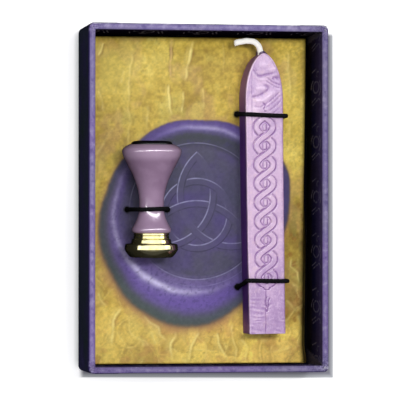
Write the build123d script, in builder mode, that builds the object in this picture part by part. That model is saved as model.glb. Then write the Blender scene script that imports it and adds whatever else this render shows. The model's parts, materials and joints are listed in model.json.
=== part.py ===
from build123d import *
import math
import os

os.makedirs("parts", exist_ok=True)

# Wax seal set box: an open paper-covered board tray that holds a folded printed card platform,
# with a seal stamp and a wicked stick of sealing wax held down on the card by three elastic cords.
# Frame: origin at the centre of the tray's underside, +X to the right and +Y to the top edge of the
# tray as it is read from above, +Z up out of the open side. Millimetres.

# ---- driving dimensions ------------------------------------------------------------------------
TRAY_W = 76.0            # outside width, X
TRAY_L = 109.0           # outside length, Y
TRAY_H = 26.0            # outside height, Z
PAPER = 0.2              # wrap paper, floor liner and base sheet
BOARD = 1.6              # greyboard panels
TURN_UNDER = 12.0        # width of the wrap that is turned under the base
CORNER_R = 1.4           # rounding of the wrapped vertical edges
RIM_R = 0.4              # rounding of the wrap where it folds over the rim
STAY_T = 0.15            # corner stay tape
STAY_LEG = 12.0
STAY_Z0, STAY_Z1 = 2.4, 23.6

CARD_T = 0.6             # folded platform card
CARD_TOP = 5.8           # height of the card's printed face
CARD_X0, CARD_X1 = -35.8, 34.0
CARD_Y0, CARD_Y1 = -52.3, 51.8
FLARE = 1.2              # the right flange leans out by this much at its foot
FLANGE_GAP = 0.6         # relief between neighbouring flanges at a corner
FOLD_R = 0.6
HOLE_R = 0.95            # punched cord holes

CORD_R = 0.65            # elastic cord
KNOT_R = 1.35            # stopper knot under the card
KNOT_Z = 3.83

STAMP_X = -16.65         # the stamp lies along Y at this X
STAMP_FACE_Y = -18.45    # y of the die's face
STAMP_GAP = 0.15         # the stamp stays this far off the card
HANDLE_R = 9.4
FLANGE_R = 8.45
S_HANDLE_MAX = 33.5      # distances from the die's face along the stamp's axis
S_FLANGE = 2.75
S_HANDLE_FOOT = 7.7
S_HANDLE_END = 35.6
CAP_R = 6.5
CAP_SEAT = 0.8
CAP_DOME = 1.2
STUD_R = 2.0
STUD_IN_HANDLE = 9.0
STUD_IN_HEAD = 4.6

WAX_T = 11.3             # thickness of the wax stick, Z
WAX_W0 = 11.5            # width at its flat end
WAX_W1 = 12.1            # width where the pointed end starts
WAX_L = 90.0
WAX_OGIVE = 14.5         # length of the pointed end
TIP_HALF = 1.2           # half width of its blunt tip
WAX_END = (20.2, -42.7)   # middle of the flat end
WAX_TILT = 0.72          # degrees that the stick leans to the left
WICK_R = 0.95

half_w, half_l = TRAY_W / 2, TRAY_L / 2
WALL = BOARD + 2 * PAPER
FLOOR = 2 * PAPER + BOARD          # top of the floor liner
in_w, in_l = TRAY_W - 2 * WALL, TRAY_L - 2 * WALL      # the opening, wall to wall
board_w, board_l = TRAY_W - 2 * PAPER, TRAY_L - 2 * PAPER


def save(part, name):
    part.label = name
    export_step(part, f"parts/{name}.step")


# ---- tray: wrap paper ---------------------------------------------------------------------------
# One sheet: turned under the base, up the outside, over the rim and down the inside to the floor.
with BuildPart() as wrap_paper:
    with BuildSketch(Plane.XY):
        RectangleRounded(TRAY_W, TRAY_L, CORNER_R)
    extrude(amount=TRAY_H)
    with BuildSketch(Plane.XY.offset(PAPER + BOARD)):
        Rectangle(in_w, in_l)
    extrude(amount=TRAY_H, mode=Mode.SUBTRACT)
    # edges of the rim, where the paper folds over the boards
    rim = wrap_paper.faces().filter_by(Axis.Z).sort_by(Axis.Z)[-1]
    fillet(rim.edges(), radius=RIM_R)
    # room for the base board
    with BuildSketch(Plane.XY.offset(PAPER)):
        RectangleRounded(board_w, board_l, CORNER_R - PAPER)
    extrude(amount=BOARD, mode=Mode.SUBTRACT)
    # room for the four wall boards
    with BuildSketch(Plane.XY.offset(PAPER + BOARD)):
        RectangleRounded(board_w, board_l, CORNER_R - PAPER)
        Rectangle(board_w - 2 * BOARD, board_l - 2 * BOARD, mode=Mode.SUBTRACT)
    extrude(amount=TRAY_H - 2 * PAPER - BOARD, mode=Mode.SUBTRACT)
    # the turn-under leaves the middle of the base bare
    with BuildSketch(Plane.XY):
        Rectangle(TRAY_W - 2 * TURN_UNDER, TRAY_L - 2 * TURN_UNDER)
    extrude(amount=PAPER, mode=Mode.SUBTRACT)
save(wrap_paper.part, "wrap_paper")

# The sheet that fills the base inside the turn-under.
with BuildPart() as base_sheet:
    with BuildSketch(Plane.XY):
        Rectangle(TRAY_W - 2 * TURN_UNDER - 0.4, TRAY_L - 2 * TURN_UNDER - 0.4)
    extrude(amount=PAPER)
save(base_sheet.part, "base_sheet")

# The paper that lines the floor inside the tray, over the ends of the turn-in.
with BuildPart() as floor_liner:
    with BuildSketch(Plane.XY.offset(PAPER + BOARD)):
        Rectangle(in_w, in_l)
    extrude(amount=PAPER)
save(floor_liner.part, "floor_liner")


# ---- tray: corner stays -------------------------------------------------------------------------
def corner_stay(sx, sy):
    """Tape round one outside corner of the boards, pressed flush into them."""
    with BuildPart() as stay:
        with BuildSketch(Plane.XY.offset(STAY_Z0)):
            RectangleRounded(board_w, board_l, CORNER_R - PAPER)
            RectangleRounded(board_w - 2 * STAY_T, board_l - 2 * STAY_T, CORNER_R - PAPER - STAY_T, mode=Mode.SUBTRACT)
        extrude(amount=STAY_Z1 - STAY_Z0)
        with BuildSketch(Plane.XY.offset(STAY_Z0)):
            with Locations((sx * (half_w - STAY_LEG / 2), sy * (half_l - STAY_LEG / 2))):
                Rectangle(STAY_LEG, STAY_LEG)
        extrude(amount=STAY_Z1 - STAY_Z0, mode=Mode.INTERSECT)
    return stay.part


stays = {
    "corner_stay_front_left": corner_stay(-1, -1),
    "corner_stay_front_right": corner_stay(1, -1),
    "corner_stay_back_left": corner_stay(-1, 1),
    "corner_stay_back_right": corner_stay(1, 1),
}
for stay_name, stay_part in stays.items():
    save(stay_part, stay_name)

# ---- tray: greyboard panels ---------------------------------------------------------------------
with BuildPart() as base_board:
    with BuildSketch(Plane.XY.offset(PAPER)):
        Rectangle(board_w - 2 * BOARD, board_l - 2 * BOARD)
    extrude(amount=BOARD)
save(base_board.part, "base_board")


def side_board(sign):
    """A long wall panel, full length, with its two outside corners rounded."""
    with BuildPart() as board:
        with BuildSketch(Plane.XY.offset(PAPER)):
            RectangleRounded(board_w, board_l, CORNER_R - PAPER)
        extrude(amount=TRAY_H - 2 * PAPER)
        with BuildSketch(Plane.XY.offset(PAPER)):
            with Locations((sign * (board_w - BOARD) / 2, 0)):
                Rectangle(BOARD, board_l)
        extrude(amount=TRAY_H - 2 * PAPER, mode=Mode.INTERSECT)
        for part in stays.values():
            add(part, mode=Mode.SUBTRACT)
    return board.part


def end_board(sign):
    """A short wall panel that stands between the two long ones."""
    with BuildPart() as board:
        with BuildSketch(Plane.XY.offset(PAPER)):
            with Locations((0, sign * (board_l - BOARD) / 2)):
                Rectangle(board_w - 2 * BOARD, BOARD)
        extrude(amount=TRAY_H - 2 * PAPER)
        for part in stays.values():
            add(part, mode=Mode.SUBTRACT)
    return board.part


save(side_board(-1), "left_wall_board")
save(side_board(1), "right_wall_board")
save(end_board(-1), "front_wall_board")
save(end_board(1), "back_wall_board")

# ---- platform card ------------------------------------------------------------------------------
# Cord holes, in pairs: under the stamp's waist, and at the two ends of the wax stick.
stamp_holes = [(-23.1, -3.3), (-10.2, -3.3)]
wax_upper_holes = [(12.4, 27.3), (26.75, 26.5)]
wax_lower_holes = [(12.55, -28.0), (27.2, -26.0)]
card_mid_y = (CARD_Y0 + CARD_Y1) / 2
card_len = CARD_Y1 - CARD_Y0

with BuildPart() as insert_card:
    # top panel
    with BuildSketch(Plane.XY.offset(CARD_TOP - CARD_T)):
        with Locations(((CARD_X0 + CARD_X1) / 2, card_mid_y)):
            Rectangle(CARD_X1 - CARD_X0, card_len)
    extrude(amount=CARD_T)
    fillet(insert_card.faces().sort_by(Axis.Z)[-1].edges(), radius=FOLD_R - 0.05)
    # left flange, upright
    with BuildSketch(Plane.XY.offset(FLOOR)):
        with Locations((CARD_X0 + CARD_T / 2, card_mid_y)):
            Rectangle(CARD_T, card_len - 2 * (CARD_T + FLANGE_GAP))
    extrude(amount=CARD_TOP - CARD_T - FLOOR)
    # front and back flanges, upright
    with BuildSketch(Plane.XY.offset(FLOOR)):
        with Locations(
            ((CARD_X0 + CARD_X1) / 2, CARD_Y0 + CARD_T / 2),
            ((CARD_X0 + CARD_X1) / 2, CARD_Y1 - CARD_T / 2),
        ):
            Rectangle(CARD_X1 - CARD_X0 - 2 * (CARD_T + FLANGE_GAP), CARD_T)
    extrude(amount=CARD_TOP - CARD_T - FLOOR)
    # right flange, leaning out towards the wall
    with BuildSketch(Plane.XZ.offset(-(CARD_Y1 - CARD_T - FLANGE_GAP))):
        with BuildLine():
            Polyline(
                (CARD_X1 - CARD_T, CARD_TOP - CARD_T),
                (CARD_X1, CARD_TOP - CARD_T),
                (CARD_X1 + FLARE, FLOOR),
                (CARD_X1 + FLARE - CARD_T, FLOOR),
                close=True,
            )
        make_face()
    extrude(amount=card_len - 2 * (CARD_T + FLANGE_GAP))
    # punched holes for the cords
    with Locations(*[(x, y, CARD_TOP) for x, y in stamp_holes + wax_upper_holes + wax_lower_holes]):
        Hole(radius=HOLE_R, depth=2 * CARD_T)
save(insert_card.part, "insert_card")

# ---- seal stamp ---------------------------------------------------------------------------------
# The stamp lies on its handle's swell and on the head's flange, so its axis leans up a little
# towards the handle. Its pieces are turned about that axis; s runs from the die's face.
tilt = math.asin((HANDLE_R - FLANGE_R) / (S_HANDLE_MAX - S_FLANGE))
axis_dir = Vector(0, math.cos(tilt), math.sin(tilt))
up_dir = Vector(0, -math.sin(tilt), math.cos(tilt))
face_z = CARD_TOP + STAMP_GAP + FLANGE_R - S_FLANGE * math.sin(tilt)
face_at = Vector(STAMP_X, STAMP_FACE_Y, face_z)
# sketch x along the axis from the die's face, sketch y outwards
turn_plane = Plane(origin=face_at, x_dir=axis_dir, z_dir=axis_dir.cross(up_dir))
turn_axis = Axis(face_at, axis_dir)
# looks along the axis into the die's face
face_plane = Plane(origin=face_at, x_dir=(1, 0, 0), z_dir=-axis_dir)

with BuildPart() as handle:
    with BuildSketch(turn_plane):
        with BuildLine():
            Polyline((S_HANDLE_FOOT, 0), (S_HANDLE_FOOT, 5.8))
            Spline(
                (S_HANDLE_FOOT, 5.8), (8.1, 6.12), (8.6, 6.22), (9.2, 6.08), (9.9, 5.71), (10.6, 5.31), (11.5, 4.86), (12.6, 4.46),
                (13.7, 4.15), (14.8, 3.99), (16.4, 3.91), (18.1, 3.95), (19.8, 4.14), (21.8, 4.57), (24.4, 5.4), (26.9, 6.53),
                (29.3, 7.78), (30.7, 8.5), (31.6, 8.91), (32.5, 9.23), (S_HANDLE_MAX, HANDLE_R), (34.2, 9.13), (34.8, 8.45),
                (35.25, 7.75), (S_HANDLE_END, 6.95),
            )
            Polyline((S_HANDLE_END, 6.95), (S_HANDLE_END, 0), (S_HANDLE_FOOT, 0))
        make_face()
    revolve(axis=turn_axis)
    # seat of the end cap
    with BuildSketch(Plane(origin=face_at + axis_dir * S_HANDLE_END, x_dir=(1, 0, 0), z_dir=-axis_dir)):
        Circle(CAP_R + 0.05)
    extrude(amount=CAP_SEAT, mode=Mode.SUBTRACT)
    # blind bore for the stud
    with BuildSketch(Plane(origin=face_at + axis_dir * S_HANDLE_FOOT, x_dir=(1, 0, 0), z_dir=axis_dir)):
        Circle(STUD_R)
    extrude(amount=STUD_IN_HANDLE + 0.5, mode=Mode.SUBTRACT)
save(handle.part, "handle")

with BuildPart() as handle_end_cap:
    with BuildSketch(turn_plane):
        s0 = S_HANDLE_END - CAP_SEAT
        with BuildLine():
            Polyline((S_HANDLE_END + 0.35, CAP_R), (s0, CAP_R), (s0, 0), (S_HANDLE_END + CAP_DOME, 0))
            Spline(
                (S_HANDLE_END + CAP_DOME, 0), (S_HANDLE_END + 0.96 * CAP_DOME, CAP_R * 0.55), (S_HANDLE_END + 0.8 * CAP_DOME, CAP_R * 0.88),
                (S_HANDLE_END + 0.35, CAP_R), tangents=[(0, 1), (-1, 0.08)],
            )
        make_face()
    revolve(axis=turn_axis)
save(handle_end_cap.part, "handle_end_cap")

# Turned brass head: a rolled die rim, a wide flange, a step and a ringed neck.
KNOT_TIP = 5.35          # the engraved knot's points lie on this radius
KNOT_LINE = 0.62         # width of its line
DIE_DEPTH = 0.5
with BuildPart() as seal_head:
    with BuildSketch(turn_plane):
        with BuildLine():
            Polyline((0, 0), (0, 6.6))
            Spline((0, 6.6), (0.3, 6.95), (0.8, 7.35), (1.5, 7.8), (2.1, 8.22), (S_FLANGE, FLANGE_R), (3.6, 8.25), (4.25, 7.55),
                   tangents=[(0.4, 0.6), (0.4, -1.0)])
            Polyline(
                (4.25, 7.55), (4.55, 7.2), (4.55, 6.15), (5.75, 6.15), (5.95, 5.95), (5.95, 5.35), (6.75, 5.25),
                (6.95, 5.65), (7.5, 5.65), (S_HANDLE_FOOT, 5.45), (S_HANDLE_FOOT, 0), (0, 0),
            )
        make_face()
    revolve(axis=turn_axis)
    # engraved face: a three-pointed knot of three half circles, inside a ring
    arc_r = KNOT_TIP / (2 / math.sqrt(3))
    with BuildSketch(face_plane):
        for k in range(3):
            a = math.radians(-90 + 120 * k)
            d = arc_r / math.sqrt(3)
            centre = (d * math.cos(a), d * math.sin(a))
            with BuildLine():
                arc = CenterArc(centre, arc_r, -90 + 120 * k + 90, 180)
            trace(lines=[arc], line_width=KNOT_LINE)
        Circle(6.15)
        Circle(5.85, mode=Mode.SUBTRACT)
        for k in range(3):
            a = math.radians(-90 + 120 * k)
            d = arc_r / math.sqrt(3)
            centre = (d * math.cos(a), d * math.sin(a))
            with BuildLine():
                arc = CenterArc(centre, arc_r, -90 + 120 * k + 90, 180)
            trace(lines=[arc], line_width=KNOT_LINE)
    extrude(amount=-DIE_DEPTH, mode=Mode.SUBTRACT)
    # blind bore for the stud
    with BuildSketch(Plane(origin=face_at + axis_dir * S_HANDLE_FOOT, x_dir=(1, 0, 0), z_dir=-axis_dir)):
        Circle(STUD_R)
    extrude(amount=STUD_IN_HEAD + 0.3, mode=Mode.SUBTRACT)
save(seal_head.part, "seal_head")

with BuildPart() as handle_stud:
    with BuildSketch(Plane(origin=face_at + axis_dir * (S_HANDLE_FOOT - STUD_IN_HEAD), x_dir=(1, 0, 0), z_dir=axis_dir)):
        Circle(STUD_R)
    extrude(amount=STUD_IN_HEAD + STUD_IN_HANDLE)
    chamfer(handle_stud.edges().filter_by(GeomType.CIRCLE), length=0.3)
save(handle_stud.part, "handle_stud")

# ---- wax stick and wick -------------------------------------------------------------------------
lean = math.radians(WAX_TILT)
wax_dir = Vector(-math.sin(lean), math.cos(lean), 0)
wax_side = Vector(math.cos(lean), math.sin(lean), 0)
wax_plane = Plane(origin=(WAX_END[0], WAX_END[1], CARD_TOP), x_dir=wax_side, z_dir=(0, 0, 1))
straight = WAX_L - WAX_OGIVE
wick_z = CARD_TOP + WAX_T / 2
tip = Vector(WAX_END[0], WAX_END[1], wick_z) + wax_dir * WAX_L
wick_start = Vector(WAX_END[0], WAX_END[1], wick_z) + wax_dir * 2.0

with BuildPart() as wax_stick:
    with BuildSketch(wax_plane):
        with BuildLine():
            Polyline((-WAX_W1 / 2, straight), (-WAX_W0 / 2, 0), (WAX_W0 / 2, 0), (WAX_W1 / 2, straight))
            Spline((WAX_W1 / 2, straight), (5.62, WAX_L - 9.0), (4.4, WAX_L - 4.9), (2.75, WAX_L - 1.9), (TIP_HALF, WAX_L),
                   tangents=[(0.0, 1.0), (-1.0, 0.85)])
            Line((TIP_HALF, WAX_L), (-TIP_HALF, WAX_L))
            Spline((-TIP_HALF, WAX_L), (-2.75, WAX_L - 1.9), (-4.4, WAX_L - 4.9), (-5.62, WAX_L - 9.0), (-WAX_W1 / 2, straight),
                   tangents=[(-1.0, -0.85), (0.0, -1.0)])
        make_face()
    extrude(amount=WAX_T)
    # the wick's channel, cast round the wick
    with BuildSketch(Plane(origin=wick_start, x_dir=(0, 0, 1), z_dir=wax_dir)):
        Circle(WICK_R)
    extrude(amount=WAX_L, mode=Mode.SUBTRACT)
save(wax_stick.part, "wax_stick")

with BuildPart() as wick:
    bend = [
        tuple(wick_start),
        tuple(tip + wax_dir * 1.1),
        (17.7, 50.75, wick_z + 0.9),
        (14.6, 50.8, wick_z + 1.3),
        (10.5, 49.7, wick_z + 1.2),
    ]
    with BuildLine() as wick_line:
        FilletPolyline(*bend, radius=[1.5, 2.4, 4.0])
    with BuildSketch(Plane(origin=wick_start, x_dir=(0, 0, 1), z_dir=wax_dir)):
        Circle(WICK_R)
    sweep(path=wick_line.line)
save(wick.part, "wick")


# ---- elastic cords ------------------------------------------------------------------------------
def elastic(points, radii):
    """A cord from one knot under the card, up through a hole, over the piece and back down."""
    with BuildPart() as cord:
        with BuildLine() as route:
            FilletPolyline(*points, radius=radii)
        start = Vector(*points[0])
        with BuildSketch(Plane(origin=start, x_dir=(1, 0, 0), z_dir=(0, 0, 1))):
            Circle(CORD_R)
        sweep(path=route.line)
        with Locations((points[0][0], points[0][1], KNOT_Z), (points[-1][0], points[-1][1], KNOT_Z)):
            Sphere(KNOT_R)
    return cord.part, sum(edge.length for edge in route.edges())


# over the stamp's waist
waist_y = stamp_holes[0][1]
waist_s = (waist_y - STAMP_FACE_Y) / math.cos(tilt)
waist_z = face_z + waist_s * math.sin(tilt)
waist_r = 3.98 + 0.25 + CORD_R
leg_z = CARD_TOP + 0.9
leg_dx = STAMP_X - stamp_holes[0][0]
lean_in = math.atan2(leg_dx, waist_z - leg_z) - math.asin(waist_r / math.hypot(leg_dx, waist_z - leg_z))
apex_z = leg_z + leg_dx / math.tan(lean_in)
elastic_stamp, stamp_length = elastic(
    [
        (stamp_holes[0][0], waist_y, KNOT_Z),
        (stamp_holes[0][0], waist_y, leg_z),
        (STAMP_X, waist_y, apex_z),
        (stamp_holes[1][0], waist_y, leg_z),
        (stamp_holes[1][0], waist_y, KNOT_Z),
    ],
    [3.0, waist_r, 3.0],
)
save(elastic_stamp, "elastic_stamp")

# over the wax stick, near the point and near the flat end
over_wax = CARD_TOP + WAX_T + CORD_R + 0.2
elastic_upper, upper_length = elastic(
    [
        (wax_upper_holes[0][0], wax_upper_holes[0][1], KNOT_Z),
        (wax_upper_holes[0][0], wax_upper_holes[0][1], leg_z),
        (12.55, 26.65, over_wax),
        (26.6, 26.35, over_wax),
        (wax_upper_holes[1][0], wax_upper_holes[1][1], leg_z),
        (wax_upper_holes[1][0], wax_upper_holes[1][1], KNOT_Z),
    ],
    [3.0, 1.15, 1.15, 3.0],
)
save(elastic_upper, "elastic_wax_upper")

elastic_lower, lower_length = elastic(
    [
        (wax_lower_holes[0][0], wax_lower_holes[0][1], KNOT_Z),
        (wax_lower_holes[0][0], wax_lower_holes[0][1], leg_z),
        (13.15, -25.9, over_wax),
        (26.95, -25.95, over_wax),
        (wax_lower_holes[1][0], wax_lower_holes[1][1], leg_z),
        (wax_lower_holes[1][0], wax_lower_holes[1][1], KNOT_Z),
    ],
    [3.0, 1.15, 1.15, 3.0],
)
save(elastic_lower, "elastic_wax_lower")

print("cord lengths between knots", [round(v, 1) for v in (stamp_length, upper_length, lower_length)])
print("stamp tilt", round(math.degrees(tilt), 2), "waist z", round(waist_z, 2), "face z", round(face_z, 2), "apex", round(apex_z, 1))
print("wax tip", [round(v, 2) for v in tip])
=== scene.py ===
import json
import math

import bmesh
import bpy
import numpy as np
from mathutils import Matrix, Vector

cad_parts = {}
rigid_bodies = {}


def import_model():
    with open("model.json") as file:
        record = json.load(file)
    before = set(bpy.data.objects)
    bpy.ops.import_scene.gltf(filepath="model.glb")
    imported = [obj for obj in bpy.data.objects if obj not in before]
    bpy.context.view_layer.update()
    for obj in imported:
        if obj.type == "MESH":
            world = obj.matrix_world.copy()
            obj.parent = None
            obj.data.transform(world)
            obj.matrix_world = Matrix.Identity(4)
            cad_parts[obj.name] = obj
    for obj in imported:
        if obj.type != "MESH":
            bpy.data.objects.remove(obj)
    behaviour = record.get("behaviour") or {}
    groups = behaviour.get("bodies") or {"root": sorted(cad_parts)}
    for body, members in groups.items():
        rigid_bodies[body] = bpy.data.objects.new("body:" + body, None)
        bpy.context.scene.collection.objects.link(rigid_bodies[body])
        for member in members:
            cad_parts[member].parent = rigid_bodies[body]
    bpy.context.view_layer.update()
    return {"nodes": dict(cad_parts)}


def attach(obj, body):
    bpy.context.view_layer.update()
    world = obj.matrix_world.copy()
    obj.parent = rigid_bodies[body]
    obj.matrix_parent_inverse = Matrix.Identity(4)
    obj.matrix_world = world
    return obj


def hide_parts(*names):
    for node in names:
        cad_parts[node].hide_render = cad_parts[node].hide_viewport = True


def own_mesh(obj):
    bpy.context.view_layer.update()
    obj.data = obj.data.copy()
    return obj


# Wax seal set box. Everything is modelled in the row frame; helper code works in millimetres and
# the mesh maker turns them into metres.

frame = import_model()
MM = 0.001


# =================================================================================================
# camera, light, floor
# =================================================================================================
def look(name, lens, at, turn):
    data = bpy.data.cameras.new(name)
    data.lens, data.sensor_width, data.sensor_fit = lens, 36.0, "HORIZONTAL"
    data.clip_start, data.clip_end = 0.05, 20.0
    cam = bpy.data.objects.new(name, data)
    bpy.context.scene.collection.objects.link(cam)
    cam.location, cam.rotation_euler = at, turn
    return cam


cam = look("camera", 257.393, (-0.155, -0.0155, 0.906), (0.016752924, -0.170951725, -0.0000820971))
bpy.context.scene.camera = cam


def area(name, at, to, size, size_y, watts, colour=(1, 1, 1), diffuse=True, glossy=True):
    data = bpy.data.lights.new(name, "AREA")
    data.shape, data.size, data.size_y = "RECTANGLE", size, size_y
    data.energy, data.color = watts, colour
    ob = bpy.data.objects.new(name, data)
    bpy.context.scene.collection.objects.link(ob)
    ob.location = at
    ob.rotation_euler = (Vector(to) - Vector(at)).to_track_quat("-Z", "Y").to_euler()
    ob.visible_diffuse, ob.visible_glossy = diffuse, glossy
    return ob


# soft light from above the head of the picture, wide across it and narrow up and down it, and a smaller one to the right
# for the shadows along the left of each piece
front = area("front_light", (0.02, 0.14, 1.05), (0, 0, 0), 0.36, 0.12, 3.45, glossy=False)
key = area("key_light", (0.16, 0.14, 1.00), (0, 0, 0), 0.09, 0.07, 1.75, glossy=False)
# a long tube across the top of the picture and the pale reflector behind it, which only polished parts show
tube_light = area("tube_light", (-0.02, 0.124, 0.30), (0, 0, 0.01), 4.2, 0.066, 22.0, diffuse=False)
reflector = area("reflector", (-0.02, 0.098, 0.315), (0, 0, 0.01), 4.2, 0.285, 4.7, diffuse=False)

world = bpy.data.worlds.new("studio")
bpy.context.scene.world = world
world.use_nodes = True
sky = world.node_tree
sky_out = sky.nodes["Background"]
sky_out.inputs[1].default_value = 1.0
place = sky.nodes.new("ShaderNodeTexCoord")
split = sky.nodes.new("ShaderNodeSeparateXYZ")
fade = sky.nodes.new("ShaderNodeValToRGB")
sky.links.new(place.outputs["Generated"], split.inputs[0])
sky.links.new(split.outputs[2], fade.inputs[0])
fade.color_ramp.elements[0].position, fade.color_ramp.elements[0].color = 0.45, (0.11, 0.11, 0.12, 1)
fade.color_ramp.elements[1].position, fade.color_ramp.elements[1].color = 0.92, (0.98, 0.98, 1.0, 1)
seen = sky.nodes.new("ShaderNodeLightPath")
backdrop = sky.nodes.new("ShaderNodeMix")
backdrop.data_type = "RGBA"
sky.links.new(seen.outputs["Is Camera Ray"], backdrop.inputs[0])
# polished parts see a dimmer room than matt ones are lit by
dim = sky.nodes.new("ShaderNodeMix")
dim.data_type = "RGBA"
dim.blend_type = "MULTIPLY"
sky.links.new(seen.outputs["Is Glossy Ray"], dim.inputs[0])
sky.links.new(fade.outputs[0], dim.inputs[6])
dim.inputs[7].default_value = (0.34, 0.34, 0.36, 1)
# low on both sides they see a pale band, the ends of the same reflector
def span(value, *stops):
    low = None
    for a, b, c, d in stops:
        node = sky.nodes.new("ShaderNodeMapRange")
        sky.links.new(value, node.inputs[0])
        for k, number in enumerate((a, b, c, d)):
            node.inputs[k + 1].default_value = number
        if low is None:
            low = node.outputs[0]
        else:
            times = sky.nodes.new("ShaderNodeMath")
            times.operation = "MULTIPLY"
            sky.links.new(low, times.inputs[0])
            sky.links.new(node.outputs[0], times.inputs[1])
            low = times.outputs[0]
    return low


beside = sky.nodes.new("ShaderNodeMath")
beside.operation = "ABSOLUTE"
sky.links.new(split.outputs[0], beside.inputs[0])
level = span(beside.outputs[0], (0.72, 0.80, 0.0, 1.0))
for more in (
    span(split.outputs[1], (0.08, 0.16, 0.0, 1.0), (0.44, 0.50, 1.0, 0.0)),
    span(split.outputs[2], (0.0, 0.03, 0.0, 1.0), (0.50, 0.62, 1.0, 0.0)),
    seen.outputs["Is Glossy Ray"],
):
    times = sky.nodes.new("ShaderNodeMath")
    times.operation = "MULTIPLY"
    sky.links.new(level, times.inputs[0])
    sky.links.new(more, times.inputs[1])
    level = times.outputs[0]
sides = sky.nodes.new("ShaderNodeMix")
sides.data_type = "RGBA"
sky.links.new(level, sides.inputs[0])
sky.links.new(dim.outputs[2], sides.inputs[6])
sides.inputs[7].default_value = (1.25, 1.25, 1.2, 1)
sky.links.new(sides.outputs[2], backdrop.inputs[6])
backdrop.inputs[7].default_value = (0.88, 0.88, 0.89, 1)
sky.links.new(backdrop.outputs[2], sky_out.inputs[0])
bpy.context.scene.view_settings.view_transform = "Standard"


# =================================================================================================
# noise and small numeric tools
# =================================================================================================
def smooth(a, b, x):
    t = np.clip((x - a) / (b - a), 0.0, 1.0)
    return t * t * (3 - 2 * t)


def hash3(i, j, k, seed):
    with np.errstate(over="ignore"):
        n = i.astype(np.int64).astype(np.uint32) * np.uint32(374761393)
        n = n + j.astype(np.int64).astype(np.uint32) * np.uint32(668265263)
        n = n + k.astype(np.int64).astype(np.uint32) * np.uint32(2246822519)
        n = n + np.uint32((seed * 3266489917) & 0xFFFFFFFF)
        n = (n ^ (n >> np.uint32(13))) * np.uint32(1274126177)
        n = (n ^ (n >> np.uint32(15))) * np.uint32(2246822519)
        n = n ^ (n >> np.uint32(16))
    return n.astype(np.float64) / 4294967295.0


def noise(x, y, z=0.0, seed=1):
    """Value noise, -1 to 1."""
    x, y, z = np.broadcast_arrays(np.asarray(x, float), np.asarray(y, float), np.asarray(z, float))
    i, j, k = np.floor(x), np.floor(y), np.floor(z)
    u, v, w = x - i, y - j, z - k
    u, v, w = (t * t * t * (t * (t * 6 - 15) + 10) for t in (u, v, w))
    out = 0.0
    for a in (0, 1):
        for b in (0, 1):
            for c in (0, 1):
                weight = (u if a else 1 - u) * (v if b else 1 - v) * (w if c else 1 - w)
                out = out + weight * hash3(i + a, j + b, k + c, seed)
    return out * 2 - 1


def fbm(x, y, z=0.0, seed=1, octaves=4, gain=0.5):
    total, size, norm = 0.0, 1.0, 0.0
    for o in range(octaves):
        total = total + size * noise(x * 2**o, y * 2**o, z * 2**o, seed + 17 * o)
        norm += size
        size *= gain
    return total / norm


def worley(x, y, seed=1):
    """(distance to the nearest point, to the second nearest, a number for the nearest point's cell)."""
    i, j = np.floor(x), np.floor(y)
    near = np.full(x.shape, 9.0)
    second = np.full(x.shape, 9.0)
    cell = np.zeros(x.shape)
    for a in (-1, 0, 1):
        for b in (-1, 0, 1):
            ci, cj = i + a, j + b
            px = ci + hash3(ci, cj, np.zeros_like(ci), seed)
            py = cj + hash3(ci, cj, np.ones_like(ci), seed)
            d = np.hypot(x - px, y - py)
            who = hash3(ci, cj, np.full_like(ci, 2), seed)
            closer = d < near
            second = np.where(closer, near, np.minimum(second, d))
            cell = np.where(closer, who, cell)
            near = np.where(closer, d, near)
    return near, second, cell


def lin(r, g, b):
    """An sRGB colour, 0 to 255, as linear numbers."""
    c = np.array([r, g, b], float) / 255
    return np.where(c <= 0.04045, c / 12.92, ((c + 0.055) / 1.055) ** 2.4)


def ramp(t, *stops):
    """Colours along t. Each stop is (position, linear colour)."""
    at = [s[0] for s in stops]
    cols = np.array([s[1] for s in stops])
    return np.stack([np.interp(t, at, cols[:, k]) for k in range(3)], -1)


def mix(a, b, t):
    t = np.asarray(t)[..., None]
    return a * (1 - t) + b * t


# =================================================================================================
# mesh tools
# =================================================================================================
def make(name, verts, faces, body, material, replaces=(), colours=None, floats=None, flat=False, weld=0.0, sharp=None):
    """A piece from vertices in millimetres."""
    mesh = bpy.data.meshes.new(name)
    verts = np.asarray(verts, float).reshape(-1, 3) * MM
    mesh.from_pydata(verts.tolist(), [], [tuple(f) for f in faces])
    for key, value in (colours or {}).items():
        layer = mesh.color_attributes.new(key, "FLOAT_COLOR", "POINT")
        rgba = np.ones((len(verts), 4), np.float32)
        rgba[:, :3] = np.asarray(value).reshape(-1, 3)
        layer.data.foreach_set("color", rgba.ravel())
    for key, value in (floats or {}).items():
        layer = mesh.attributes.new(key, "FLOAT", "POINT")
        layer.data.foreach_set("value", np.asarray(value, np.float32).ravel())
    mesh.validate(clean_customdata=False)
    bm = bmesh.new()
    bm.from_mesh(mesh)
    if weld:
        bmesh.ops.remove_doubles(bm, verts=bm.verts, dist=weld * MM)
    bmesh.ops.recalc_face_normals(bm, faces=bm.faces)
    bm.to_mesh(mesh)
    bm.free()
    mesh.polygons.foreach_set("use_smooth", [not flat] * len(mesh.polygons))
    if sharp is not None:
        mesh.set_sharp_from_angle(angle=math.radians(sharp))
    mesh.update()
    ob = bpy.data.objects.new(name, mesh)
    bpy.context.scene.collection.objects.link(ob)
    mesh.materials.append(material)
    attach(ob, body)
    if replaces:
        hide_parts(*replaces)
    return ob


def grid_faces(nu, nv, wrap_u=False, wrap_v=False, start=0, flip=False):
    """Quads of an nu by nv grid of vertices, stored row by row along v."""
    iu = np.arange(nu if wrap_u else nu - 1)
    iv = np.arange(nv if wrap_v else nv - 1)
    a, b = np.meshgrid(iu, iv, indexing="ij")
    a2, b2 = (a + 1) % nu, (b + 1) % nv
    q = np.stack([a * nv + b, a2 * nv + b, a2 * nv + b2, a * nv + b2], -1).reshape(-1, 4) + start
    return q[:, ::-1] if flip else q


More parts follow.
